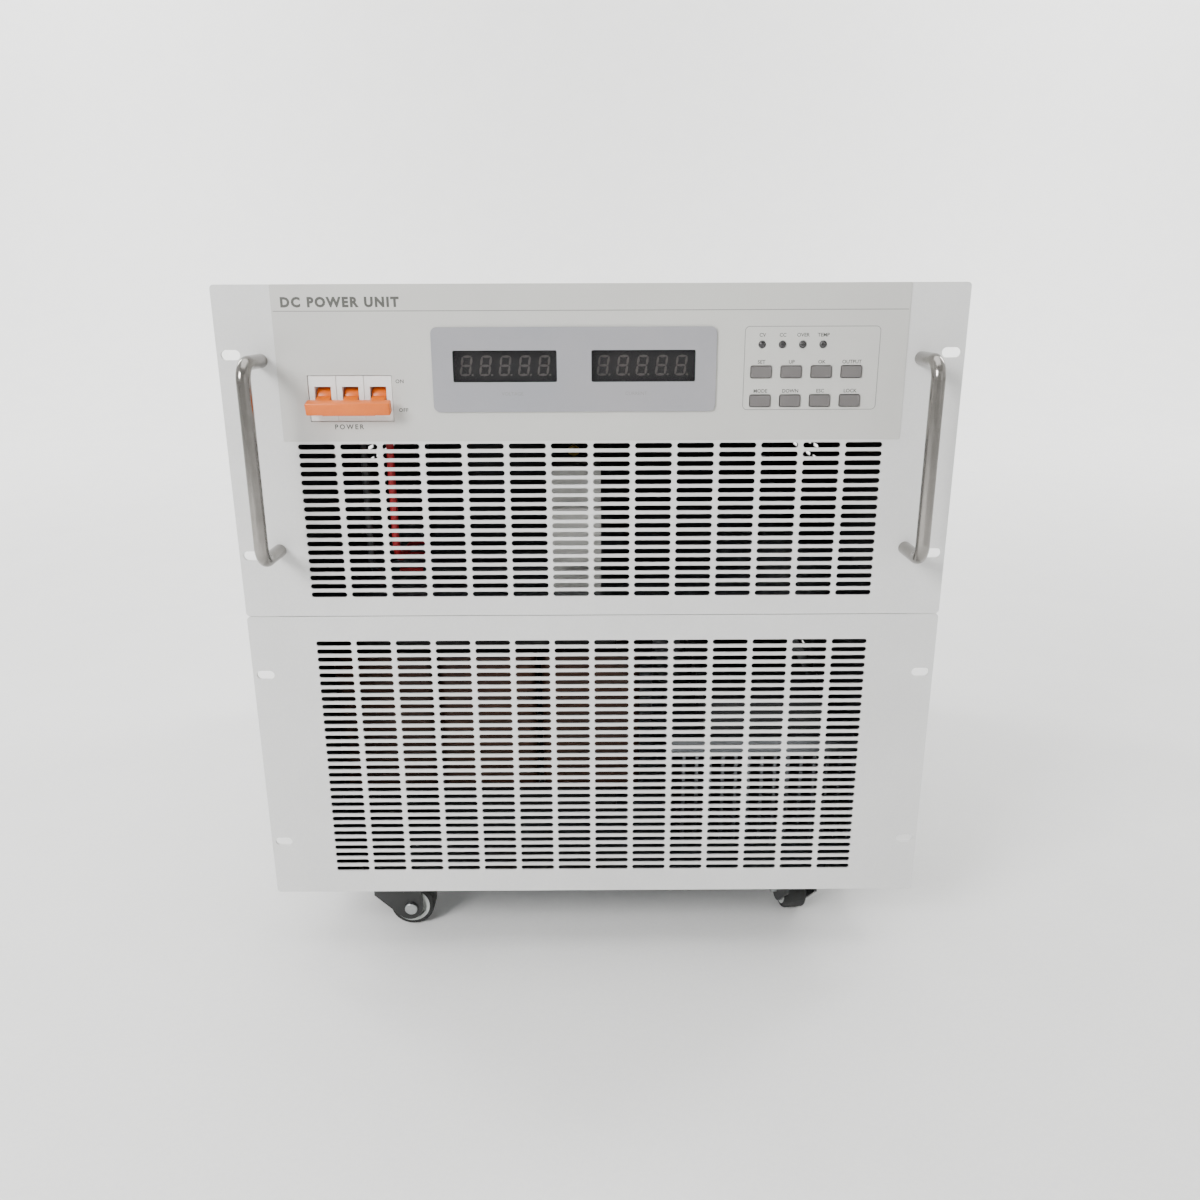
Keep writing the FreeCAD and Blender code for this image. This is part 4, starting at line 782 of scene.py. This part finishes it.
# ---------------------------------------------------------------- printing
@dataclass
class Printing:
    """Legends and lines printed on the label film, each a skin of ink on its face.

    Attributes:
        ink: thickness of the ink.
        lift: gap under the ink that keeps it from merging with the film.
        capital: height of a capital, as a share of the font's size.
    """

    ink: float = 0.03 * MM
    lift: float = 0.01 * MM
    capital: float = 0.69

    def words(self, name: str, text: str, x: float, y: float, z: float, height: float,
              weight: float = 0.0, spacing: float = 1.0, left: bool = False,
              rear: bool = False) -> bpy.types.Object:
        """Prints words on a surface that faces the front or the rear.

        Args:
            name: name of the piece.
            text: the words.
            x: middle or left end of the words.
            y: face that they are printed on.
            z: middle height of the capitals.
            height: height of the capitals.
            weight: how much the strokes are thickened.
            spacing: spacing of the letters.
            left: True if x is the left end.
            rear: True if the surface faces the rear.

        Returns:
            The words as a mesh.
        """
        deselect()
        face = y + self.lift if rear else y - self.lift
        turn = math.radians(180) if rear else 0.0
        bpy.ops.object.text_add(location=(x, face, z), rotation=(math.radians(90), 0, turn))
        piece = bpy.context.object
        piece.name = name
        curve = piece.data
        curve.body = text
        curve.size = height / self.capital
        curve.space_character = spacing
        curve.offset = weight
        curve.extrude = self.ink / 2
        curve.resolution_u = 3
        curve.align_x = "LEFT" if left else "CENTER"
        curve.align_y = "CENTER"
        bpy.ops.object.convert(target="MESH")
        return settle(bpy.context.object)

    def rule(self, name: str, left: float, right: float, y: float, z: float,
             width: float) -> bpy.types.Object:
        """Prints a straight line across a surface that faces the front.

        Args:
            name: name of the piece.
            left: left end.
            right: right end.
            y: face that it is printed on.
            z: middle height.
            width: width of the line.

        Returns:
            The line.
        """
        front = y - self.lift - self.ink
        line = new_box(name, (left, front, z - width / 2), (right, y - self.lift, z + width / 2))
        return ease(line, 0.008 * MM, 1)

    def outline(self, name: str, low: Vector, high: Vector, y: float, radius: float,
                width: float) -> bpy.types.Object:
        """Prints a closed frame with rounded corners.

        Args:
            name: name of the piece.
            low: lower left corner, of which x and z are used.
            high: upper right corner.
            y: face that it is printed on.
            radius: outer corner radius.
            width: width of the line.

        Returns:
            The frame.
        """
        front = y - self.lift - self.ink
        piece = new_box(name, (low.x, front, low.z), (high.x, y - self.lift, high.z))
        only(piece)
        bpy.ops.object.mode_set(mode="EDIT")
        bpy.ops.mesh.select_mode(type="EDGE")
        bpy.ops.mesh.select_all(action="DESELECT")
        leave_edit()
        points = piece.data.vertices
        for edge in piece.data.edges:
            span = points[edge.vertices[0]].co - points[edge.vertices[1]].co
            edge.select = abs(span.y) > self.ink / 2 and abs(span.x) + abs(span.z) < self.ink / 2
        bpy.ops.object.mode_set(mode="EDIT")
        bpy.ops.mesh.bevel(offset=radius, segments=6, affect="EDGES")
        leave_edit()
        pick_faces(piece, lambda centre, normal: abs(normal.y) > 0.9)
        bpy.ops.mesh.inset(thickness=width)
        bpy.ops.mesh.bridge_edge_loops()
        leave_edit()
        return piece


# ---------------------------------------------------------------- control panel
@dataclass
class Display:
    """Five unlit seven-segment digits behind each window.

    Attributes:
        height: height of a digit.
        width: width of a digit.
        pitch: spacing of the digits.
        stroke: width of a segment.
        slant: lean of the digits, in degrees.
        digits: digits in one window.
        gap: gap between neighbouring segments.
        relief: how far a segment stands out.
        point_gap: a digit's edge to the middle of its point.
        shift: how far the digits sit left of the window's middle.
        clearance: gap between the segments and the module's face.
        aspect: width of a window over its height.
    """

    height: float = 13.2 * MM
    width: float = 7.4 * MM
    pitch: float = 12.7 * MM
    stroke: float = 1.5 * MM
    slant: float = 8.0
    digits: int = 5
    gap: float = 0.35 * MM
    relief: float = 0.15 * MM
    point_gap: float = 1.2 * MM
    shift: float = 0.5 * MM
    clearance: float = 0.02 * MM
    aspect: float = 3.36

    def segment(self, length: float) -> bpy.types.Object:
        """Models one segment with pointed ends, lying along X and facing the front.

        Args:
            length: length from point to point.

        Returns:
            The segment, centred on the origin.
        """
        deselect()
        bpy.ops.mesh.primitive_circle_add(vertices=6, radius=self.stroke / math.sqrt(3), fill_type="NGON",
                                          rotation=(math.radians(90), 0, 0))
        piece = settle(bpy.context.object)
        reach = length / 2 - self.stroke / math.sqrt(3)
        for side in (-1, 1):
            pick_points(piece, lambda place, side=side: place.x * side > self.stroke / 8)
            bpy.ops.transform.translate(value=(side * reach, 0, 0))
            leave_edit()
        pick_faces(piece, lambda centre, normal: True)
        bpy.ops.mesh.extrude_region_move(TRANSFORM_OT_translate={"value": (0, -self.relief, 0)})
        bpy.ops.mesh.select_all(action="SELECT")
        bpy.ops.mesh.normals_make_consistent(inside=False)
        leave_edit()
        return piece

    def digit(self) -> bpy.types.Object:
        """Models one digit with its seven segments and its point.

        Returns:
            The digit, centred on the origin.
        """
        half = self.height / 2 - self.stroke / 2
        side = self.width / 2 - self.stroke / 2
        flat = self.segment(2 * side - self.gap)
        upright = self.segment(half - self.gap)
        parts = [copy_at(flat, Matrix.Translation((0, 0, level * half))) for level in (-1, 0, 1)]
        quarter = Matrix.Rotation(math.radians(90), 4, "Y")
        for across in (-1, 1):
            for level in (-1, 1):
                place = Matrix.Translation((across * side, 0, level * half / 2))
                parts.append(copy_at(upright, place @ quarter))
        discard(flat)
        discard(upright)
        point = new_round("point", self.stroke * 0.5, (self.width / 2 + self.point_gap, 0, -half), (0, -1, 0),
                          self.relief, 12)
        digit = join("digit", parts + [point])
        lean = Matrix.Identity(4)
        lean[0][2] = math.tan(math.radians(self.slant))
        digit.data.transform(lean)
        return digit

    def build(self) -> None:
        """Places the digits on the two display modules."""
        low, high = corners("display_modules")
        width = (high.z - low.z) * self.aspect
        master = self.digit()
        for number, x in enumerate((low.x + width / 2, high.x - width / 2)):
            copies = []
            for index in range(self.digits):
                offset = (index - (self.digits - 1) / 2) * self.pitch
                spot = Vector((x + offset - self.shift, low.y - self.clearance, (low.z + high.z) / 2))
                copies.append(copy_at(master, Matrix.Translation(spot)))
            piece = join("display_digits_%d" % (number + 1), copies)
            add_piece(piece, "cabinet", STOCK.get(SEGMENT))
        discard(master)


@dataclass
class ControlPanel:
    """Label film, printed legends, keys, lamps and display of the upper front panel.

    Attributes:
        title_height: capitals of the title.
        label_height: capitals of the smallest legends.
        title_in: left edge of the film to the title.
        title_down: top edge of the film to the middle of the title.
        header_in: edges of the film to the ends of the header line.
        header_down: top edge of the film to the header line.
        header_width: width of the header line.
        key_lip: hidden lip of a key beyond its cap.
        word_weight: thickening of the smallest legends.
        border_left: keypad frame beyond the lip of the first key.
        border_right: keypad frame beyond the lip of the last key of the upper row.
        border_radius: corner radius of the keypad frame.
        border_width: width of its line.
    """

    title_height: float = 5.6 * MM
    label_height: float = 2.2 * MM
    title_in: float = 6.0 * MM
    title_down: float = 11.2 * MM
    header_in: float = 1.0 * MM
    header_down: float = 16.4 * MM
    header_width: float = 0.5 * MM
    key_lip: float = 1.1 * MM
    word_weight: float = 0.06 * MM
    border_left: float = 3.8 * MM
    border_right: float = 9.8 * MM
    border_radius: float = 3.0 * MM
    border_width: float = 0.45 * MM

    def build(self) -> None:
        """Dresses the controls and prints the legends."""
        nodes = frame["nodes"]
        dress(nodes["control_overlay"], STOCK.get(LABEL_FILM))
        dress(nodes["display_plate"], STOCK.get(BEZEL))
        dress(nodes["display_windows"], STOCK.get(SMOKED))
        dress(nodes["display_modules"], STOCK.get(DISPLAY_FACE))
        dress(nodes["control_board"], STOCK.get(BOARD))
        dress(nodes["status_leds"], STOCK.get(LENS))
        for number in range(1, 9):
            dress(nodes["key_%d" % number], STOCK.get(KEYCAP))
        Display().build()
        self.legends()
        LOG.info("control panel dressed")

    def legends(self) -> None:
        """Prints the title, the lines and the legends."""
        film_low, film_high = corners("control_overlay")
        plate_low, _ = corners("display_plate")
        window_low, window_high = corners("display_windows")
        face = film_low.y
        printing = Printing()
        pale = STOCK.get(LINE_INK)
        title = printing.words("title_lettering", "DC POWER UNIT", film_low.x + self.title_in, face,
                               film_high.z - self.title_down, self.title_height, 0.42 * MM, 1.24, True)
        add_piece(title, "cabinet", STOCK.get(INK))
        line = printing.rule("header_line", film_low.x + self.header_in, film_high.x - self.header_in, face,
                             film_high.z - self.header_down, self.header_width)
        add_piece(line, "cabinet", pale)
        middle = (window_low.x + window_high.x) / 2
        words = []
        for text, edge in (("VOLTAGE", window_low.x), ("CURRENT", window_high.x)):
            words.append(printing.words("word", text, (edge + middle) / 2, plate_low.y,
                                        window_low.z - 5.5 * MM, self.label_height))
        add_piece(join("display_legends", words), "cabinet", pale)
        self.key_legends(printing, face)
        self.breaker_legends(printing, face)

    def key_legends(self, printing: Printing, face: float) -> None:
        """Prints the keypad frame and a generic word above each key and lamp.

        Args:
            printing: the printing that is used.
            face: front face of the film.
        """
        names = ("SET", "UP", "OK", "OUTPUT", "MODE", "DOWN", "ESC", "LOCK")
        words = []
        for number, text in enumerate(names):
            low, high = corners("key_%d" % (number + 1))
            cap_top = high.z - self.key_lip
            words.append(printing.words("word", text, (low.x + high.x) / 2, face, cap_top + 2.6 * MM,
                                        self.label_height, self.word_weight))
        lamp_low, lamp_high = corners("status_leds")
        lamps = ("CV", "CC", "OVER", "TEMP")
        lamp_size = lamp_high.z - lamp_low.z
        step = (lamp_high.x - lamp_low.x - lamp_size) / (len(lamps) - 1)
        first = lamp_low.x + lamp_size / 2
        for index, text in enumerate(lamps):
            words.append(printing.words("word", text, first + step * index, face, lamp_high.z + 3.6 * MM,
                                        self.label_height, self.word_weight))
        add_piece(join("keypad_legends", words), "cabinet", STOCK.get(INK))
        plate_low, plate_high = corners("display_plate")
        key_low, _ = corners("key_1")
        _, key_high = corners("key_4")
        low = Vector((key_low.x - self.border_left, 0, plate_low.z + 0.5 * MM))
        high = Vector((key_high.x + self.border_right, 0, plate_high.z))
        border = printing.outline("keypad_border", low, high, face, self.border_radius, self.border_width)
        add_piece(border, "cabinet", STOCK.get(LINE_INK))

    def breaker_legends(self, printing: Printing, face: float) -> None:
        """Prints ON, OFF and POWER around the breaker.

        Args:
            printing: the printing that is used.
            face: front face of the film.
        """
        low, high = corners("breaker_body")
        middle = (low.z + high.z) / 2
        side = high.x + 5.5 * MM
        words = [
            printing.words("word", "ON", side, face, middle + 10.8 * MM, 2.3 * MM, 0.08 * MM, 1.1),
            printing.words("word", "OFF", side + 1.5 * MM, face, middle - 7.6 * MM, 2.3 * MM, 0.08 * MM, 1.1),
            printing.words("word", "POWER", (low.x + high.x) / 2 - 2.4 * MM, face, middle - 18.4 * MM,
                           3.0 * MM, 0.12 * MM, 1.45),
        ]
        add_piece(join("breaker_legends", words), "cabinet", STOCK.get(INK))


@dataclass
class BreakerToggle:
    """Orange toggles and tie bar, rounded as the moulded ones are.

    Attributes:
        width: width of one toggle.
        pitch: spacing of the poles.
        arm: height of a toggle.
        reach: pivot to the front of the tie bar.
        bar_width: width of the tie bar.
        bar_height: height of the tie bar.
        bar_depth: depth of the tie bar.
        keel: depth of the sloped ledge under the tie bar.
        hub: radius of the drum that fills the slot.
        keel_in: ends of the tie bar to the ends of the ledge.
        keel_set: front and back of the tie bar to those of the ledge.
        rest: how far the toggles point down at rest, in degrees.
    """

    width: float = 9.5 * MM
    pitch: float = 18.0 * MM
    arm: float = 7.0 * MM
    reach: float = 22.0 * MM
    bar_width: float = 54.4 * MM
    bar_height: float = 8.2 * MM
    bar_depth: float = 7.5 * MM
    keel: float = 0.9 * MM
    hub: float = 7.0 * MM
    keel_in: float = 4.0 * MM
    keel_set: float = 1.2 * MM
    rest: float = 16.0

    def lever(self, x: float, pivot: Vector) -> bpy.types.Object:
        """Models one toggle: a drum and an arm that tapers to the front.

        Args:
            x: middle of the toggle.
            pivot: point on the pivot line.

        Returns:
            The toggle.
        """
        low = x - self.width / 2
        drum = new_round("drum", self.hub - 0.05 * MM, (low, pivot.y, pivot.z), (1, 0, 0), self.width, 40)
        front = pivot.y - self.reach + 1.5 * MM
        arm = new_box("arm", (low, front, pivot.z - self.arm / 2),
                      (low + self.width, pivot.y, pivot.z + self.arm / 2))
        pick_faces(arm, lambda centre, normal: normal.y < -0.9)
        bpy.ops.transform.resize(value=(0.96, 1.0, 0.8))
        leave_edit()
        return join("lever", [ease(drum, 0.4 * MM), ease(arm, 0.5 * MM)])

    def build(self) -> None:
        """Models the toggles and the bar and puts them in the off position."""
        pivot = joint_place("breaker_throw")
        parts = [self.lever(pivot.x + step * self.pitch, pivot) for step in (-1, 0, 1)]
        front = pivot.y - self.reach
        half = self.bar_width / 2
        bar = new_box("bar", (pivot.x - half, front, pivot.z - self.bar_height / 2),
                      (pivot.x + half, front + self.bar_depth, pivot.z + self.bar_height / 2))
        apply_modifier(bar, "BEVEL", width=0.9 * MM, segments=3, limit_method="ANGLE")
        keel_top = pivot.z - self.bar_height / 2 + 2.6 * MM
        keel_low = pivot.z - self.bar_height / 2 - self.keel
        keel = new_box("keel", (pivot.x - half + self.keel_in, front + self.keel_set, keel_low),
                       (pivot.x + half - self.keel_in, front + self.bar_depth - self.keel_set, keel_top))
        pick_faces(keel, lambda centre, normal: normal.z < -0.9)
        bpy.ops.transform.resize(value=(0.72, 0.8, 1.0))
        leave_edit()
        parts += [bar, ease(keel, 0.5 * MM)]
        piece = join("breaker_toggle_moulding", parts)
        swing = Matrix.Rotation(math.radians(self.rest), 4, "X")
        piece.data.transform(Matrix.Translation(pivot) @ swing @ Matrix.Translation(-pivot))
        add_piece(smooth(piece), "breaker_handle", STOCK.get(ORANGE), "breaker_toggle")
        dress(frame["nodes"]["breaker_body"], STOCK.get(BREAKER))


# ---------------------------------------------------------------- running gear and insides
@dataclass
class Castors:
    """The four castors."""

    count: int = 4

    def build(self) -> None:
        """Dresses every castor."""
        nodes = frame["nodes"]
        dress(nodes["castor_plates"], STOCK.get(FORK_BLACK))
        for number in range(1, self.count + 1):
            dress(nodes["castor_fork_%d" % number], STOCK.get(FORK_BLACK))
            dress(nodes["castor_axle_%d" % number], STOCK.get(SCREW))
            dress(nodes["castor_tyre_%d" % number], STOCK.get(TYRE))
            dress(nodes["castor_hub_%d" % number], STOCK.get(HUB))
        LOG.info("castors dressed")


@dataclass
class Insides:
    """Fans, transformer, heat sink, capacitors and the rear connections.

    Attributes:
        way_count: ways of the input block.
        barrier: thickness of its barriers.
        block_face: face of the ways behind the rear panel.
        head_radius: radius of a clamp screw's head.
        head_height: height of a clamp screw's head.
        bar_width: width of an output bar.
        small: capitals of the way and earth marks.
        large: capitals of the two headings.
        mark: height of the polarity marks.
        mark_up: middle of the insulator board to the polarity marks.
    """

    way_count: int = 4
    barrier: float = 3.0 * MM
    block_face: float = 14.0 * MM
    head_radius: float = 4.2 * MM
    head_height: float = 3.3 * MM
    bar_width: float = 40.0 * MM
    small: float = 4.5 * MM
    large: float = 5.5 * MM
    mark: float = 9.0 * MM
    mark_up: float = 17.0 * MM

    def build(self) -> None:
        """Dresses the parts inside the case and on its back."""
        finishes = {
            "fan_frames": NYLON, "fan_rotor_1": NYLON, "fan_rotor_2": NYLON, "transformer_core": CORE,
            "transformer_coils": WINDING, "heat_sink": EXTRUDED, "power_modules": MODULE,
            "capacitor_bank": SLEEVE, "contactor": CONTACTOR, "input_terminal_block": NYLON,
            "output_busbars": COPPER, "busbar_insulator": LAMINATE, "ground_stud": BRASS, "wiring_loom": LOOM}
        for name, finish in finishes.items():
            dress(frame["nodes"][name], STOCK.get(finish))
        self.terminal_screws()
        self.rear_legends()
        LOG.info("insides dressed")

    def ways(self) -> list[float]:
        """Gives the middles of the input block's ways along X."""
        low, high = corners("input_terminal_block")
        step = (high.x - low.x - self.barrier) / self.way_count
        return [low.x + self.barrier / 2 + step * (way + 0.5) for way in range(self.way_count)]

    def terminal_screws(self) -> None:
        """Puts a steel clamp screw on each head of the input block."""
        low, high = corners("input_terminal_block")
        clamp = Screws(recess_span=5.2 * MM, crown=0.7 * MM)
        master = clamp.master(self.head_radius, self.head_height, self.head_radius / 2, 0.4 * MM)
        middle = (low.z + high.z) / 2
        quarter = (high.z - low.z) / 4
        turn = Vector((0, 1, 0)).to_track_quat("Z", "Y").to_matrix().to_4x4()
        copies = []
        for x in self.ways():
            for end in (-1, 1):
                spot = Vector((x, low.y + self.block_face + self.head_height, middle + end * quarter))
                copies.append(copy_at(master, Matrix.Translation(spot) @ turn))
        discard(master)
        add_piece(join("terminal_clamp_screws", copies), "cabinet", STOCK.get(SCREW))

    def rear_legends(self) -> None:
        """Prints the generic marks of the rear connections."""
        printing = Printing()
        low, high = corners("input_terminal_block")
        _, rear = corners("rear_panel")
        words = [printing.words("word", text, x, rear.y, high.z + 5 * MM, self.small, 0.1 * MM, rear=True)
                 for x, text in zip(self.ways(), ("L1", "L2", "L3", "PE"))]
        words.append(printing.words("word", "AC INPUT", (low.x + high.x) / 2, rear.y, high.z + 14 * MM,
                                    self.large, 0.15 * MM, 1.1, rear=True))
        bars_low, bars_high = corners("output_busbars")
        board_low, board_high = corners("busbar_insulator")
        words.append(printing.words("word", "DC OUTPUT", (board_low.x + board_high.x) / 2, rear.y,
                                    board_high.z + 9 * MM, self.large, 0.15 * MM, 1.1, rear=True))
        stud_low, stud_high = corners("ground_stud")
        words.append(printing.words("word", "EARTH", (stud_low.x + stud_high.x) / 2, rear.y,
                                    stud_low.z - 6 * MM, self.small, 0.1 * MM, rear=True))
        add_piece(join("rear_legends", words), "cabinet", STOCK.get(INK))
        half = self.bar_width / 2
        height = (board_low.z + board_high.z) / 2 + self.mark_up
        marks = [printing.words("mark", text, x, board_high.y, height, self.mark, 0.3 * MM, rear=True)
                 for x, text in ((bars_low.x + half, "+"), (bars_high.x - half, "-"))]
        add_piece(join("polarity_marks", marks), "cabinet", STOCK.get(PALE_INK))


# ---------------------------------------------------------------- studio
@dataclass
class Studio:
    """Pale floor, soft lights and the camera.

    Attributes:
        lens: focal length for a 36 mm wide sensor.
        distance: camera ahead of the front panels.
        aside: camera to the right of the middle.
        below_top: camera below the top edge of the panels.
        pitch: camera looks down by this angle, in radians.
        yaw: camera looks to the right by this angle.
        roll: camera is turned clockwise by this angle.
        floor_size: side of the square floor.
        floor_ahead: how far the middle of the floor is ahead of the object.
        backdrop_height: height of the backdrop.
        sweep: radius of the curve between the two.
    """

    lens: float = 29.245
    distance: float = 0.6477
    aside: float = 0.003
    below_top: float = 0.0131
    pitch: float = 0.2941
    yaw: float = 0.003
    roll: float = 0.0038
    floor_size: float = 11.0
    floor_ahead: float = 1.5
    backdrop_height: float = 5.0
    sweep: float = 1.4

    def camera(self) -> None:
        """Adds the camera at the viewing angle."""
        low, high = corners("upper_front_panel")
        spot = Vector((self.aside, low.y - self.distance, high.z - self.below_top))
        level = Vector((math.cos(self.yaw), -math.sin(self.yaw), 0))
        ahead = Vector((math.sin(self.yaw), math.cos(self.yaw), 0))
        down = Vector((0, 0, -1))
        forward = ahead * math.cos(self.pitch) + down * math.sin(self.pitch)
        upward = ahead * math.sin(self.pitch) - down * math.cos(self.pitch)
        right = level * math.cos(self.roll) - upward * math.sin(self.roll)
        top = level * math.sin(self.roll) + upward * math.cos(self.roll)
        data = bpy.data.cameras.new("camera")
        data.lens = self.lens
        data.sensor_width = 36.0
        data.clip_start = 0.01
        camera = bpy.data.objects.new("camera", data)
        camera.matrix_world = Matrix((
            (right.x, top.x, -forward.x, spot.x),
            (right.y, top.y, -forward.y, spot.y),
            (right.z, top.z, -forward.z, spot.z),
            (0, 0, 0, 1)))
        bpy.context.scene.collection.objects.link(camera)
        bpy.context.scene.camera = camera

    @staticmethod
    def lamp(name: str, spot: Sequence[float], target: Sequence[float], size: float, power: float) -> None:
        """Adds one soft box.

        Args:
            name: name of the light.
            spot: where it stands.
            target: the point that it faces.
            size: width of its square.
            power: power in watts.
        """
        data = bpy.data.lights.new(name, "AREA")
        data.energy = power
        data.size = size
        light = bpy.data.objects.new(name, data)
        light.location = spot
        light.rotation_euler = (Vector(target) - Vector(spot)).to_track_quat("-Z", "Y").to_euler()
        bpy.context.scene.collection.objects.link(light)

    def floor(self) -> None:
        """Adds the floor, whose far edge curves up into a backdrop."""
        deselect()
        bpy.ops.mesh.primitive_plane_add(size=self.floor_size, location=(0, -self.floor_ahead, -0.5 * MM))
        floor = settle(bpy.context.object)
        floor.name = "studio_floor"
        back = max(vertex.co.y for vertex in floor.data.vertices) - 10 * MM
        only(floor)
        for edge in floor.data.edges:
            edge.select = all(floor.data.vertices[end].co.y > back for end in edge.vertices)
        bpy.ops.object.mode_set(mode="EDIT")
        bpy.ops.mesh.select_mode(type="EDGE")
        bpy.ops.mesh.extrude_region_move(TRANSFORM_OT_translate={"value": (0, 0, self.backdrop_height)})
        leave_edit()
        for edge in floor.data.edges:
            ends = [floor.data.vertices[end].co for end in edge.vertices]
            edge.select = all(end.y > back and end.z < 10 * MM for end in ends)
        bpy.ops.object.mode_set(mode="EDIT")
        bpy.ops.mesh.bevel(offset=self.sweep, segments=16, affect="EDGES")
        leave_edit()
        smooth(floor, 60)
        dress(floor, STOCK.get(FLOOR))

    def build(self) -> None:
        """Builds the whole studio."""
        self.floor()
        self.lamp("key_light", (-1.5, -1.9, 1.5), (0, -0.25, 0.3), 0.9, 70.0)
        self.lamp("fill_light", (1.6, -2.2, 1.0), (0, -0.2, 0.3), 1.6, 6.0)
        self.lamp("top_light", (0.0, -0.1, 2.6), (0, 0.05, 0.0), 2.2, 34.0)
        self.lamp("backdrop_light_left", (-2.8, 1.8, 2.6), (-0.8, 4.0, 0.6), 1.6, 150.0)
        self.lamp("backdrop_light_right", (2.8, 1.8, 2.6), (0.8, 4.0, 0.6), 1.6, 150.0)
        world = bpy.data.worlds.new("studio_world")
        world.use_nodes = True
        background = world.node_tree.nodes["Background"]
        background.inputs["Color"].default_value = linear("FFFFFF")
        background.inputs["Strength"].default_value = 0.6
        bpy.context.scene.world = world
        self.camera()


def main() -> None:
    """Builds the whole scene in order."""
    logging.basicConfig(level=logging.INFO, format="%(name)s: %(message)s")
    Cabinet().build()
    ControlPanel().build()
    BreakerToggle().build()
    Castors().build()
    Insides().build()
    Studio().build()


if __name__ == "__main__":
    main()
